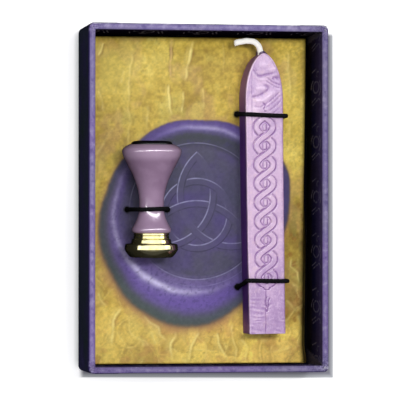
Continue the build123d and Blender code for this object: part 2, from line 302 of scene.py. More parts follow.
def spline_points(points, order=3, resolution=24):
    """Points in mm along a NURBS curve with these control points, one per resolution step."""
    curve = bpy.data.curves.new("route", "CURVE")
    curve.dimensions = "3D"
    curve.resolution_u = resolution
    line = curve.splines.new("NURBS")
    line.points.add(len(points) - 1)
    for p, c in zip(line.points, points):
        p.co = (c[0], c[1], c[2], 1.0)
    line.order_u = order
    line.use_endpoint_u = True
    ob = bpy.data.objects.new("route", curve)
    bpy.context.scene.collection.objects.link(ob)
    bpy.context.view_layer.update()
    mesh = bpy.data.meshes.new_from_object(ob)
    out = np.array([v.co for v in mesh.vertices], float)
    bpy.data.objects.remove(ob)
    bpy.data.meshes.remove(mesh)
    bpy.data.curves.remove(curve)
    keep = np.r_[True, np.linalg.norm(np.diff(out, axis=0), axis=1) > 1e-5]
    return out[keep]


def even(points, step):
    """The same line, with points about step apart, and the length along it."""
    seg = np.linalg.norm(np.diff(points, axis=0), axis=1)
    s = np.r_[0, np.cumsum(seg)]
    n = max(2, int(round(s[-1] / step)) + 1)
    t = np.linspace(0, s[-1], n)
    return np.stack([np.interp(t, s, points[:, k]) for k in range(3)], -1), t


def frames(points, up=(0, 0, 1)):
    """Tangent and two normals along a line, carried along without twist."""
    tan = np.gradient(points, axis=0)
    tan /= np.linalg.norm(tan, axis=1, keepdims=True)
    first = np.cross(tan[0], up)
    if np.linalg.norm(first) < 1e-3:
        first = np.cross(tan[0], (0, 1, 0))
    n = first / np.linalg.norm(first)
    normals = []
    for t in tan:
        n = n - t * np.dot(n, t)
        n /= np.linalg.norm(n)
        normals.append(n)
    normals = np.array(normals)
    return tan, normals, np.cross(tan, normals)


def tube(points, radius, around, wide=1.0, high=1.0, relief=None, closed_ends=True, up=(0, 0, 1)):
    """Vertices and faces of a tube along points. relief(angle, distance along) adds to the radius, in mm."""
    tan, n, b = frames(points, up)
    seg = np.linalg.norm(np.diff(points, axis=0), axis=1)
    s = np.r_[0, np.cumsum(seg)]
    ang = np.linspace(0, 2 * math.pi, around, endpoint=False)
    A, S = np.meshgrid(ang, s)
    r = np.broadcast_to(np.asarray(radius, float).reshape(-1, 1), A.shape) + (relief(A, S) if relief else 0.0)
    v = points[:, None, :] + (np.cos(A) * r * wide)[..., None] * n[:, None, :] + (np.sin(A) * r * high)[..., None] * b[:, None, :]
    verts = v.reshape(-1, 3)
    faces = [tuple(f) for f in grid_faces(len(points), around, wrap_v=True)]
    if closed_ends:
        faces.append(tuple(range(around)))
        last = (len(points) - 1) * around
        faces.append(tuple(reversed(range(last, last + around))))
    return verts, faces


def join_parts(*parts):
    verts, faces, start = [], [], 0
    for v, f in parts:
        v = np.asarray(v, float).reshape(-1, 3)
        verts.append(v)
        faces += [tuple(int(i) + start for i in q) for q in f]
        start += len(v)
    return np.concatenate(verts), faces


# =================================================================================================
# material tools
# =================================================================================================
class Value:
    """A number in a node tree. Arithmetic on it adds Math nodes."""

    def __init__(self, graph, socket):
        self.g, self.s = graph, socket

    def __add__(self, o):
        return self.g.math("ADD", self, o)

    def __radd__(self, o):
        return self.g.math("ADD", o, self)

    def __sub__(self, o):
        return self.g.math("SUBTRACT", self, o)

    def __rsub__(self, o):
        return self.g.math("SUBTRACT", o, self)

    def __mul__(self, o):
        return self.g.math("MULTIPLY", self, o)

    def __rmul__(self, o):
        return self.g.math("MULTIPLY", o, self)

    def __truediv__(self, o):
        return self.g.math("DIVIDE", self, o)

    def __neg__(self):
        return self.g.math("MULTIPLY", self, -1.0)

    def __abs__(self):
        return self.g.math("ABSOLUTE", self)

    def __pow__(self, o):
        return self.g.math("POWER", self, o)


class Graph:
    """One material and the nodes in it."""

    def __init__(self, name, **shader):
        self.mat = bpy.data.materials.new(name)
        self.mat.use_nodes = True
        self.tree = self.mat.node_tree
        self.shader = self.tree.nodes["Principled BSDF"]
        self.count = 0
        for key, value in shader.items():
            self.shader.inputs[key.replace("_", " ").title().replace("Ior", "IOR")].default_value = value

    def add(self, kind, **props):
        n = self.tree.nodes.new(kind)
        for key, value in props.items():
            setattr(n, key, value)
        n.location = (-240 - 190 * (self.count // 8), 300 - 170 * (self.count % 8))
        self.count += 1
        return n

    def plug(self, socket, value):
        if isinstance(value, Value):
            value = value.s
        if isinstance(value, bpy.types.NodeSocket):
            self.tree.links.new(value, socket)
        elif value is not None:
            if hasattr(socket.default_value, "__len__") and hasattr(value, "__len__") and len(value) == 3 and len(socket.default_value) == 4:
                value = (*value, 1.0)
            socket.default_value = value

    def math(self, op, a, b=None, c=None, clamp=False):
        n = self.add("ShaderNodeMath", operation=op, use_clamp=clamp)
        for s, v in zip(n.inputs, (a, b, c)):
            if v is not None:
                self.plug(s, v)
        return Value(self, n.outputs[0])

    def low(self, a, b):
        return self.math("MINIMUM", a, b)

    def high(self, a, b):
        return self.math("MAXIMUM", a, b)

    def step(self, value, low, high, to_low=0.0, to_high=1.0):
        n = self.add("ShaderNodeMapRange", interpolation_type="SMOOTHSTEP")
        for s, v in zip(n.inputs, (value, low, high, to_low, to_high)):
            self.plug(s, v)
        return Value(self, n.outputs[0])

    def place(self):
        """The piece's own coordinates, in mm, as a vector."""
        co = self.add("ShaderNodeTexCoord")
        n = self.add("ShaderNodeVectorMath", operation="SCALE")
        self.tree.links.new(co.outputs["Object"], n.inputs[0])
        n.inputs["Scale"].default_value = 1000.0
        return n.outputs[0]

    def parts(self, vector):
        n = self.add("ShaderNodeSeparateXYZ")
        self.tree.links.new(vector, n.inputs[0])
        return tuple(Value(self, s) for s in n.outputs)

    def vector(self, x, y, z):
        n = self.add("ShaderNodeCombineXYZ")
        for s, v in zip(n.inputs, (x, y, z)):
            self.plug(s, v)
        return n.outputs[0]

    def stretch(self, vector, x, y, z):
        n = self.add("ShaderNodeVectorMath", operation="MULTIPLY")
        self.tree.links.new(vector, n.inputs[0])
        n.inputs[1].default_value = (x, y, z)
        return n.outputs[0]

    def push(self, vector, by, amount):
        """Moves a vector by a noise's colour, as a warp."""
        n = self.add("ShaderNodeVectorMath", operation="MULTIPLY_ADD")
        self.tree.links.new(by, n.inputs[0])
        n.inputs[1].default_value = (amount, amount, amount)
        self.tree.links.new(vector, n.inputs[2])
        return n.outputs[0]

    def noise(self, vector, scale, detail=4.0, rough=0.5, distortion=0.0, colour=False):
        n = self.add("ShaderNodeTexNoise")
        self.tree.links.new(vector, n.inputs["Vector"])
        for key, v in (("Scale", scale), ("Detail", detail), ("Roughness", rough), ("Distortion", distortion)):
            n.inputs[key].default_value = v
        return n.outputs["Color"] if colour else Value(self, n.outputs["Fac"])

    def voronoi(self, vector, scale, feature="F1", random=1.0):
        n = self.add("ShaderNodeTexVoronoi", feature=feature)
        self.tree.links.new(vector, n.inputs["Vector"])
        n.inputs["Scale"].default_value = scale
        n.inputs["Randomness"].default_value = random
        return Value(self, n.outputs["Distance"])

    def attribute(self, name, colour=True):
        n = self.add("ShaderNodeAttribute", attribute_name=name)
        return n.outputs["Color"] if colour else Value(self, n.outputs["Fac"])

    def ramp(self, value, *stops, smooth=True):
        n = self.add("ShaderNodeValToRGB")
        n.color_ramp.interpolation = "EASE" if smooth else "LINEAR"
        self.plug(n.inputs[0], value)
        e = n.color_ramp.elements
        while len(e) < len(stops):
            e.new(0.5)
        for item, (at, colour) in zip(e, stops):
            item.position = at
            item.color = (*colour, 1.0)
        return n.outputs["Color"]

    def mix(self, factor, a, b, mode="MIX"):
        n = self.add("ShaderNodeMix", data_type="RGBA", blend_type=mode)
        self.plug(n.inputs[0], factor)
        self.plug(n.inputs[6], a)
        self.plug(n.inputs[7], b)
        return n.outputs[2]

    def scale(self, colour, factor):
        n = self.add("ShaderNodeVectorMath", operation="SCALE")
        self.plug(n.inputs[0], colour)
        self.plug(n.inputs["Scale"], factor)
        return n.outputs[0]

    def bump(self, height, strength, distance_mm, normal=None):
        n = self.add("ShaderNodeBump")
        n.inputs["Strength"].default_value = strength
        n.inputs["Distance"].default_value = distance_mm * MM
        self.plug(n.inputs["Height"], height)
        if normal is not None:
            self.tree.links.new(normal, n.inputs["Normal"])
        return n.outputs[0]

    def set(self, **sockets):
        for key, value in sockets.items():
            key = {"colour": "Base Color", "roughness": "Roughness", "normal": "Normal", "metallic": "Metallic"}[key]
            self.plug(self.shader.inputs[key], value)
        return self.mat


def lc(r, g, b):
    return tuple(float(v) for v in lin(r, g, b))


# =================================================================================================
# floor
# =================================================================================================
g = Graph("floor_pale", roughness=0.8, specular_ior_level=0.1, emission_strength=0.46)
p = g.place()
n = g.noise(p, 0.02, 3.0)
px, py, _ = g.parts(p)
white = g.ramp(n, (0.3, lc(246, 246, 247)), (0.7, lc(252, 252, 252)))
# painted shadow: grey where the box stands, darkest against its walls: on the right, along the foot of the picture, and
# a breath of it left
foot = py + px * 0.010
shade = g.step(px, 44.95, 45.25, 1.0, 0.0) * g.step(foot, -57.25, -56.95) * g.step(px, -38.1, -36.0) * g.step(py, 53.0, 54.6, 1.0, 0.0)
depth = g.low(g.step(px, 43.6, 45.0, 1.0, 0.0), g.step(foot, -56.9, -55.5))
tone = g.mix(depth, lc(158, 160, 164), lc(112, 111, 121))
pale = g.mix(g.step(px, -39.8, -38.0) * g.step(px, -37.5, -36.0, 1.0, 0.0) * g.step(abs(py), 51.0, 54.5, 1.0, 0.0), white, lc(206, 208, 208))
pale = g.mix(shade, pale, tone)
g.set(colour=pale)
# painted light: the floor glows brighter just below the box, over its soft shadow
painted_light_below = g.step(py, -66.0, -58.5) * g.step(foot, -57.2, -57.5) * g.step(px, -46.0, -36.0)
g.plug(g.shader.inputs["Emission Color"], g.scale(pale, 1.0 + painted_light_below * 0.42))
floor_mesh = bpy.data.meshes.new("floor")
floor_mesh.from_pydata([(-3, -3, -0.00006), (3, -3, -0.00006), (3, 3, -0.00006), (-3, 3, -0.00006)], [], [(0, 1, 2, 3)])
floor_mesh.materials.append(g.mat)
floor = bpy.data.objects.new("floor", floor_mesh)
bpy.context.scene.collection.objects.link(floor)

# =================================================================================================
# sizes shared with the CAD pieces, in mm
# =================================================================================================
TRAY_W, TRAY_L, TRAY_H, WALL, FLOOR_Z = 76.0, 109.0, 26.0, 2.0, 2.0
CARD_TOP, CARD_T = 5.8, 0.6
STAMP_HOLES = [(-23.1, -3.3), (-10.2, -3.3)]
UPPER_HOLES = [(12.4, 27.3), (26.75, 26.5)]
LOWER_HOLES = [(12.55, -28.0), (27.2, -26.0)]
HOLE_R = 0.95

# =================================================================================================
# tray wrap
# =================================================================================================
ORNAMENT_PITCH = 17.4


def wrap_material():
    g = Graph("wrap_paper_print", roughness=0.8, specular_ior_level=0.0)
    p = g.place()
    u, v, inside = g.parts(g.attribute("wall"))
    outside = g.attribute("outside", colour=False)
    rim = g.attribute("rim", colour=False)
    wear_and_highlight = g.attribute("wear_and_highlight", colour=False)
    flap = g.attribute("flap", colour=False)
    slow = g.noise(p, 0.06, 4.0, 0.6)
    fine = g.noise(p, 2.4, 5.0, 0.68)
    upright = g.noise(g.vector(u * 1.0, v * 2.2, inside), 1.5, 4.0, 0.65)
    fibre = g.noise(g.stretch(p, 1.0, 0.35, 1.0), 5.0, 3.0, 0.7)
    # outer walls: near-black, navy and bottle green in turn, lighter grain
    outer = g.ramp(slow, (0.32, lc(20, 27, 27)), (0.46, lc(23, 26, 36)), (0.60, lc(25, 24, 43)), (0.74, lc(34, 30, 58)))
    # painted highlight: a lighter violet strip along the top of the outer walls, where they turn over to the rim
    outer = g.mix(g.step(v, 0.90, 0.99) * 0.70, outer, lc(50, 38, 88))
    outer = g.mix(g.step(fine, 0.50, 0.76, 0.0, 0.55), outer, lc(56, 57, 72))
    outer = g.mix(g.step(g.noise(p, 0.35, 5.0, 0.7), 0.55, 0.74, 0.0, 0.45), outer, lc(33, 42, 41))
    # inner walls: painted shade makes them black at the foot, rising to navy and plum towards the rim; streaked upright
    inner = g.ramp(v + (upright - 0.5) * 0.22, (0.28, lc(6, 6, 16)), (0.50, lc(22, 22, 56)), (0.72, lc(52, 46, 82)), (0.95, lc(82, 73, 110)))
    inner = g.mix(g.step(slow, 0.42, 0.66, 0.0, 0.35), inner, lc(50, 42, 52))
    inner = g.mix(g.step(fine, 0.52, 0.78, 0.0, 0.30) * g.step(v, 0.3, 0.7), inner, lc(92, 84, 110))
    # painted shadow: the short wall at the top of the picture is nearly black inside
    inner = g.mix(g.step(g.parts(p)[1], 51.2, 52.2, 0.0, 0.88) * g.step(v, 0.98, 1.0, 1.0, 0.4), inner, lc(6, 2, 16))
    navy = g.mix(outside, inner, outer)
    # pale scroll ornament on the inner walls: a ring in a crescent over two short strokes
    t = g.math("FRACT", u / ORNAMENT_PITCH)
    a = (t - 0.5) * ORNAMENT_PITCH
    b = (v * 24.0 - 14.8) / 1.7

    def ring(x0, y0, radius, thick, low=None, high=None, tall=1.0):
        dx, dy = a - x0, (b - y0) / tall
        rho = g.math("SQRT", dx * dx + dy * dy)
        line = g.step(abs(rho - radius), thick * 0.3, thick, 1.0, 0.0)
        if low is not None:
            turn = g.math("ARCTAN2", dy, dx)
            line = line * g.step(turn, low, low + 0.2) * g.step(turn, high - 0.2, high, 1.0, 0.0)
        return line

    def stroke(x0, y0, x1, y1, thick):
        length = math.hypot(x1 - x0, y1 - y0)
        ux, uy = (x1 - x0) / length, (y1 - y0) / length
        along = (a - x0) * ux + (b - y0) * uy
        off = abs((a - x0) * uy - (b - y0) * ux)
        return g.step(off, thick * 0.3, thick, 1.0, 0.0) * g.step(abs(along - length / 2), length / 2 - 0.1, length / 2 + 0.3, 1.0, 0.0)

    mark = ring(0.6, 0.4, 1.75, 0.42, tall=1.35)
    mark = g.high(mark, ring(0.3, 0.2, 3.1, 0.40, 0.7, 2.6, tall=1.25))
    mark = g.high(mark, ring(0.3, 0.2, 3.1, 0.40, -1.7, -0.5, tall=1.25))
    mark = g.high(mark, ring(-4.4, 2.4, 1.25, 0.38, -1.2, 1.9))
    mark = g.high(mark, stroke(-4.9, -2.4, -3.6, 1.0, 0.34))
    mark = g.high(mark, stroke(-3.9, -3.1, -2.7, 0.2, 0.34))
    mark = g.high(mark, stroke(5.6, -2.9, 6.5, 0.4, 0.34))
    mark = g.high(mark, ring(4.6, 1.9, 0.95, 0.34, -2.6, 0.9))
    patchy = g.step(g.noise(p, 0.8, 4.0, 0.7), 0.34, 0.58, 0.10, 1.0)
    mark = mark * patchy * inside * (1.0 - flap)
    navy = g.mix(mark * 0.46, navy, lc(132, 130, 148))
    # the turned-in corner of the cover sheet shows its greyer side
    turned = g.ramp(fine, (0.3, lc(58, 56, 74)), (0.7, lc(92, 88, 104)))
    navy = g.mix(flap * inside * g.step(v, 0.05, 0.6, 0.35, 1.0), navy, turned)
    # lavender on the flat of the rim, mauve in one patch and blue-grey in the next, streaked along it
    hue = g.noise(p, 0.045, 3.0, 0.5)
    streak = g.noise(g.stretch(p, 0.30, 0.30, 0.3), 1.7, 5.0, 0.62)
    px, py, _ = g.parts(p)
    lavender = g.ramp(hue, (0.36, lc(126, 117, 152)), (0.5, lc(118, 107, 154)), (0.64, lc(124, 105, 160)))
    lavender = g.mix(g.step(streak, 0.47, 0.30, 0.0, 0.60), lavender, lc(84, 73, 124))
    lavender = g.mix(g.step(streak, 0.53, 0.70, 0.0, 0.66), lavender, lc(162, 154, 186))
    lavender = g.mix(g.step(fibre, 0.52, 0.75, 0.0, 0.34), lavender, lc(182, 176, 202))
    # painted highlight: a paler streak along the middle of the flat; painted shade: darker borders where the rim rounds
    # over
    across = abs(rim - 1.5)
    lavender = g.mix(g.step(across, 0.28, 0.06, 0.0, 0.34) * g.step(streak, 0.38, 0.56), lavender, lc(170, 160, 196))
    lavender = g.mix(g.step(across, 0.34, 0.50, 0.0, 0.45), lavender, lc(74, 64, 112))
    # painted light and shade: the rim at the top of the picture is made lighter, and the short rim at the foot and the
    # long rim on the right a little darker
    lavender = g.scale(lavender, g.step(py, -53.0, -51.0, 0.86, 1.0) * g.step(py, 51.0, 53.0, 1.0, 1.08) * g.step(px, 30.0, 36.0, 1.0, 0.86))
    solid = g.low(rim, 1.0)
    edge = solid + (fine - 0.5) * 0.16
    colour = g.mix(g.step(edge, 0.40, 0.60), navy, lavender)
    # painted shade: a dark line along the rim's outer fold, weaker on the rim at the top of the picture
    fold = g.step(abs(solid - 0.45), 0.0, 0.40, 1.0, 0.0) * outside
    colour = g.mix(fold * g.step(py, 53.0, 54.0, 0.85, 0.35), colour, lc(34, 26, 66))
    # pale rubbed paper at the worn corners, and a painted highlight along the outer fold of the top rim
    rub = g.step(wear_and_highlight + (fine - 0.5) * 0.55 + (streak - 0.5) * 0.5, 0.42, 0.95)
    colour = g.mix(rub * 0.8, colour, lc(200, 197, 210))
    # creases pressed into the corners: painted shade as dark hairs along the creases, between the rubbed patches
    pinch = g.attribute("pinch", colour=False)
    hair = g.noise(g.stretch(p, 1.0, 1.0, 0.6), 1.6, 4.0, 0.7)
    colour = g.mix(pinch * g.step(abs(hair - 0.5), 0.0, 0.055, 1.0, 0.0) * 0.85, colour, lc(30, 22, 62))
    colour = g.mix(pinch * g.step(g.noise(p, 0.75, 4.0, 0.75), 0.50, 0.64, 0.0, 0.50), colour, lc(176, 168, 206))
    bump = g.bump(fibre * 0.6 + fine * 0.4, 0.35, 0.05)
    return g.set(colour=colour, roughness=g.step(fine, 0.3, 0.7, 0.72, 0.88), normal=bump)


def tray_wrap():
    hw, hl, r = TRAY_W / 2, TRAY_L / 2, 1.5
    # outer path, counterclockwise from the middle of the front wall
    path = []

    def run(x0, y0, x1, y1, nx, ny):
        # points close together near the two corners, wider in the middle
        length = math.hypot(x1 - x0, y1 - y0)
        stops = [0.0]
        while stops[-1] < length - 0.3:
            near = min(stops[-1], length - stops[-1])
            stops.append(stops[-1] + min(0.9, 0.28 + near * 0.06))
        stops = np.array(stops[:-1]) / length if stops[-1] > length else np.array(stops) / length
        for t in stops:
            path.append((x0 + (x1 - x0) * t, y0 + (y1 - y0) * t, nx, ny))

    def corner(cx, cy, a0):
        for i in range(14):
            a = math.radians(a0 + 90 / 14 * i)
            path.append((cx + r * math.cos(a), cy + r * math.sin(a), math.cos(a), math.sin(a)))

    run(-hw + r, -hl, hw - r, -hl, 0, -1)
    corner(hw - r, -hl + r, -90)
    run(hw, -hl + r, hw, hl - r, 1, 0)
    corner(hw - r, hl - r, 0)
    run(hw - r, hl, -hw + r, hl, 0, 1)
    corner(-hw + r, hl - r, 90)
    run(-hw, hl - r, -hw, -hl + r, -1, 0)
    corner(-hw + r, -hl + r, 180)
    path = np.array(path)
    n = len(path)
    outer, normal = path[:, :2], path[:, 2:]
    inner = outer - normal * WALL
    inner = np.clip(inner, (-hw + WALL, -hl + WALL), (hw - WALL, hl - WALL))

    # profile: (kind, share of the wall's thickness or inset of the foot, height)
    rows = []
    for d in (12.0, 11.0, 8.0, 5.0, 3.0, 1.6, 0.8):
        rows.append(("foot", d, 0.0))
    for a in (20, 50, 80):
        q = math.radians(a)
        rows.append(("foot", 0.35 * (1 - math.sin(q)), 0.35 * (1 - math.cos(q))))
    for z in np.r_[np.linspace(0.5, 22.5, 24), np.linspace(23.0, 25.45, 10)]:
        rows.append(("wall_out", 0.0, z))
    lip = 0.42
    for a in (15, 32, 48, 62, 76):
        q = math.radians(a)
        rows.append(("rim", lip * (1 - math.cos(q)) / WALL, TRAY_H - lip * (1 - math.sin(q))))
    for s in np.linspace(lip / WALL, 1 - lip / WALL, 9):
        rows.append(("rim", s, TRAY_H))
    for a in (76, 62, 48, 32, 15):
        q = math.radians(a)
        rows.append(("rim", 1 - lip * (1 - math.cos(q)) / WALL, TRAY_H - lip * (1 - math.sin(q))))
    for z in np.r_[np.linspace(25.45, 23.5, 8), np.linspace(23.0, 2.0, 30)]:
        rows.append(("wall_in", 1.0, z))

    kinds = np.array([k for k, _, _ in rows])
    share = np.array([q for _, q, _ in rows])
    height = np.array([z for _, _, z in rows])
    is_foot, is_out, is_rim, is_in = ((kinds == k)[:, None] for k in ("foot", "wall_out", "rim", "wall_in"))
    verts = np.zeros((len(rows), n, 3))
    along_wall = np.zeros((len(rows), n, 3))
    on_long = np.abs(normal[:, 0]) > np.abs(normal[:, 1])
    x, y = outer[:, 0], outer[:, 1]
    coordinate = np.where(on_long, y * np.sign(normal[:, 0]), -x * np.sign(normal[:, 1]))
    for k, (kind, q, z) in enumerate(rows):
        if kind == "foot":
            verts[k, :, :2] = np.clip(outer - normal * q, (-hw + q, -hl + q), (hw - q, hl - q))
        else:
            verts[k, :, :2] = outer * (1 - q) + inner * q
        verts[k, :, 2] = z
        along_wall[k, :, 0] = coordinate + 200.0
        along_wall[k, :, 1] = 0.0 if kind == "foot" else np.clip(z / 26.0, 0, 1)
        along_wall[k, :, 2] = 1.0 if kind == "wall_in" else 0.0
    outer_half = (share < 0.5)[:, None]
    rim = np.where(outer_half, smooth(25.80, 25.985, height)[:, None], smooth(25.45, 25.80, height)[:, None])
    rim = np.where(is_foot | is_out, 0.0, rim) * np.ones((1, n))
    rim = np.where(is_rim & (rim > 0.98), 1.0 + np.clip(share, 0, 1)[:, None], rim)
    outside = np.where(is_foot | is_out | (is_rim & outer_half), 1.0, 0.0) * np.ones((1, n))

    nrm = np.zeros_like(verts)
    face_in = np.where(on_long[:, None], [1.0, 0.0], [0.0, 1.0]) * np.sign(normal)
    nrm[..., :2] = np.where(is_out[..., None], normal[None], np.where(is_in[..., None], -face_in[None], 0.0))
    nrm[..., 2] = is_rim * 1.0
    X, Y, Z = verts[..., 0].copy(), verts[..., 1].copy(), verts[..., 2].copy()
    # paper over board: slow waves and a fine cockle
    amount = 0.05 * fbm(X / 9, Y / 9, Z / 9, 11, 3) + 0.018 * fbm(X / 1.6, Y / 1.6, Z / 1.6, 12, 3)
    # under-flaps of the long walls end about 9 mm round each corner on the short walls
    amount = amount + 0.10 * (~on_long)[None, :] * is_out * smooth(hw - 9.6, hw - 9.1, np.abs(X)) * smooth(0, 2, Z)
    # inside, the short walls' turn-ins run on round the corners, with a slanted edge that is low in the wall
    reach = 3.4 + 1.1 * np.sign(X * Y) * -1.0
    slant = hl - WALL - 0.7 - reach * np.clip(1 - Z / 25.0, 0, 1) + 0.18 * noise(Z / 3.0, np.sign(X) * 7 + np.sign(Y) * 3, 0, 5)
    long_in = on_long[None, :] * is_in
    flap = long_in * smooth(0.0, 0.22, np.abs(Y) - slant)
    amount = amount + 0.16 * flap
    # where the corner was pressed over, the rim is dented and creased
    cx, cy = hw - 1.0, hl - 1.0
    dx, dy = np.abs(X) - cx, np.abs(Y) - cy
    near = np.exp(-((dx**2 + dy**2) / 2.1**2))
    worn = np.where(X > 0, 1.0, 0.85) * np.where(Y > 0, 1.0, 1.1)
    mitre = (dx - dy) / math.sqrt(2)
    wide = np.exp(-((dx**2 + dy**2) / 3.6**2))
    bend = mitre + 0.5 * noise(X / 1.1, Y / 1.1, 0, 36)
    creases = 0.10 * np.exp(-((bend - 0.28) / 0.24) ** 2) - 0.12 * np.exp(-((bend + 0.30) / 0.26) ** 2)
    rough = fbm(X / 0.9 + 9, Y / 0.9, Z / 1.2, 14, 3)
    lumps = fbm(X / 1.5, Y / 1.5, Z / 1.5, 37, 3)
    amount = amount + is_rim * (near * (creases * 1.3 + 0.06) * worn + wide * (0.12 * rough + 0.22 * lumps) - 0.03)
    amount = amount + is_out * wide * smooth(21, 25, Z) * 0.07 * rough
    verts += nrm * amount[..., None]
    # the outer fold sinks a little towards each corner
    verts[..., 2] -= 0.16 * is_rim * near * (1 - share)[:, None]
    scuff = 0.5 + 0.5 * noise(X / 2.2, Y / 2.2, 0, 31)
    wear_and_highlight = near * worn * (0.66 * is_rim * (0.35 + 1.5 * np.clip(rough + 0.1, 0, 1)) + 0.22 * is_out * smooth(24.2, 25.6, Z))
    wear_and_highlight = wear_and_highlight + 0.26 * is_rim * scuff
    # a bright rubbed ridge along the mitre
    wear_and_highlight = wear_and_highlight + is_rim * near * 0.30 * np.exp(-((bend - 0.28) / 0.2) ** 2) * (0.4 + 0.6 * smooth(-0.2, 0.3, lumps))
    # painted highlight: the rim at the top of the picture is pale along its outer fold
    wear_and_highlight = wear_and_highlight + is_rim * outer_half * (Y > hl - 1.0) * (share < 0.16)[:, None] * 0.45
    # pale cut edge of the slanted turn-in, and rubbed vertical corners
    wear_and_highlight = wear_and_highlight + 0.8 * long_in * np.exp(-((np.abs(Y) - slant - 0.12) / 0.17) ** 2) * (0.15 + 0.85 * smooth(12, 25, Z))
    vertical = is_out * (np.abs(normal[:, 0] * normal[:, 1]) > 0.2)[None, :]
    wear_and_highlight = wear_and_highlight + 0.42 * vertical * np.clip(0.35 + 0.9 * noise(Z / 3.0, X / 20.0, Y / 20.0, 33), 0, 1)
    # the paper stays over the boards under it, so it stands up in small crests rather than sinking
    verts[..., 2] = np.where(is_rim, np.maximum(verts[..., 2], Z - 0.07), verts[..., 2])
    verts[..., 2] = np.clip(verts[..., 2], 0.0, TRAY_H + 0.30)

    faces = grid_faces(len(rows), n, wrap_v=True)
    return make(
        "tray_wrap", verts, faces, "tray", wrap_material(), replaces=("wrap_paper",),
        colours={"wall": along_wall}, floats={"rim": rim, "wear_and_highlight": wear_and_highlight, "outside": outside, "flap": flap, "pinch": wide * (is_rim + 0.6 * (is_out | is_in) * smooth(24.2, 25.6, Z))}, weld=0.003,
    )


wrap = tray_wrap()

# =================================================================================================
# platform card: printed parchment with a violet wax seal
# =================================================================================================
KNOT_CENTRE = (-0.6, -5.0)
KNOT_TIP = 20.1                              # from the centre to each point of the knot
KNOT_C = 0.65 * KNOT_TIP                     # from the centre to the centre of each of its three arcs
KNOT_ARC = 16.65                             # radius of the middle of a band
KNOT_BAND = 1.02                             # half a band's width
KNOT_RING = 10.7
SEAL_DISC = 21.8


def seal_outline(theta):
    """The printed seal's outline, in mm from the knot's centre."""
    a = np.asarray(theta)
    return (
        31.5
        + 1.49 * np.cos(a + math.radians(117))
        + 2.27 * np.cos(2 * a - math.radians(122))
        + 0.95 * np.cos(3 * a - math.radians(80))
        + 0.40 * np.cos(4 * a - math.radians(88))
        + 0.25 * np.cos(5 * a + math.radians(160))
        + 0.16 * np.cos(9 * a + 1.3)
        + 0.10 * np.cos(14 * a + 0.5)
    )


def srgb_ramp(t, *stops):
    return ramp(t, *[(at, lin(*c)) for at, c in stops])


def toward(col, colour, amount):
    return mix(col, np.broadcast_to(lin(*colour), col.shape), np.clip(amount, 0, 1))


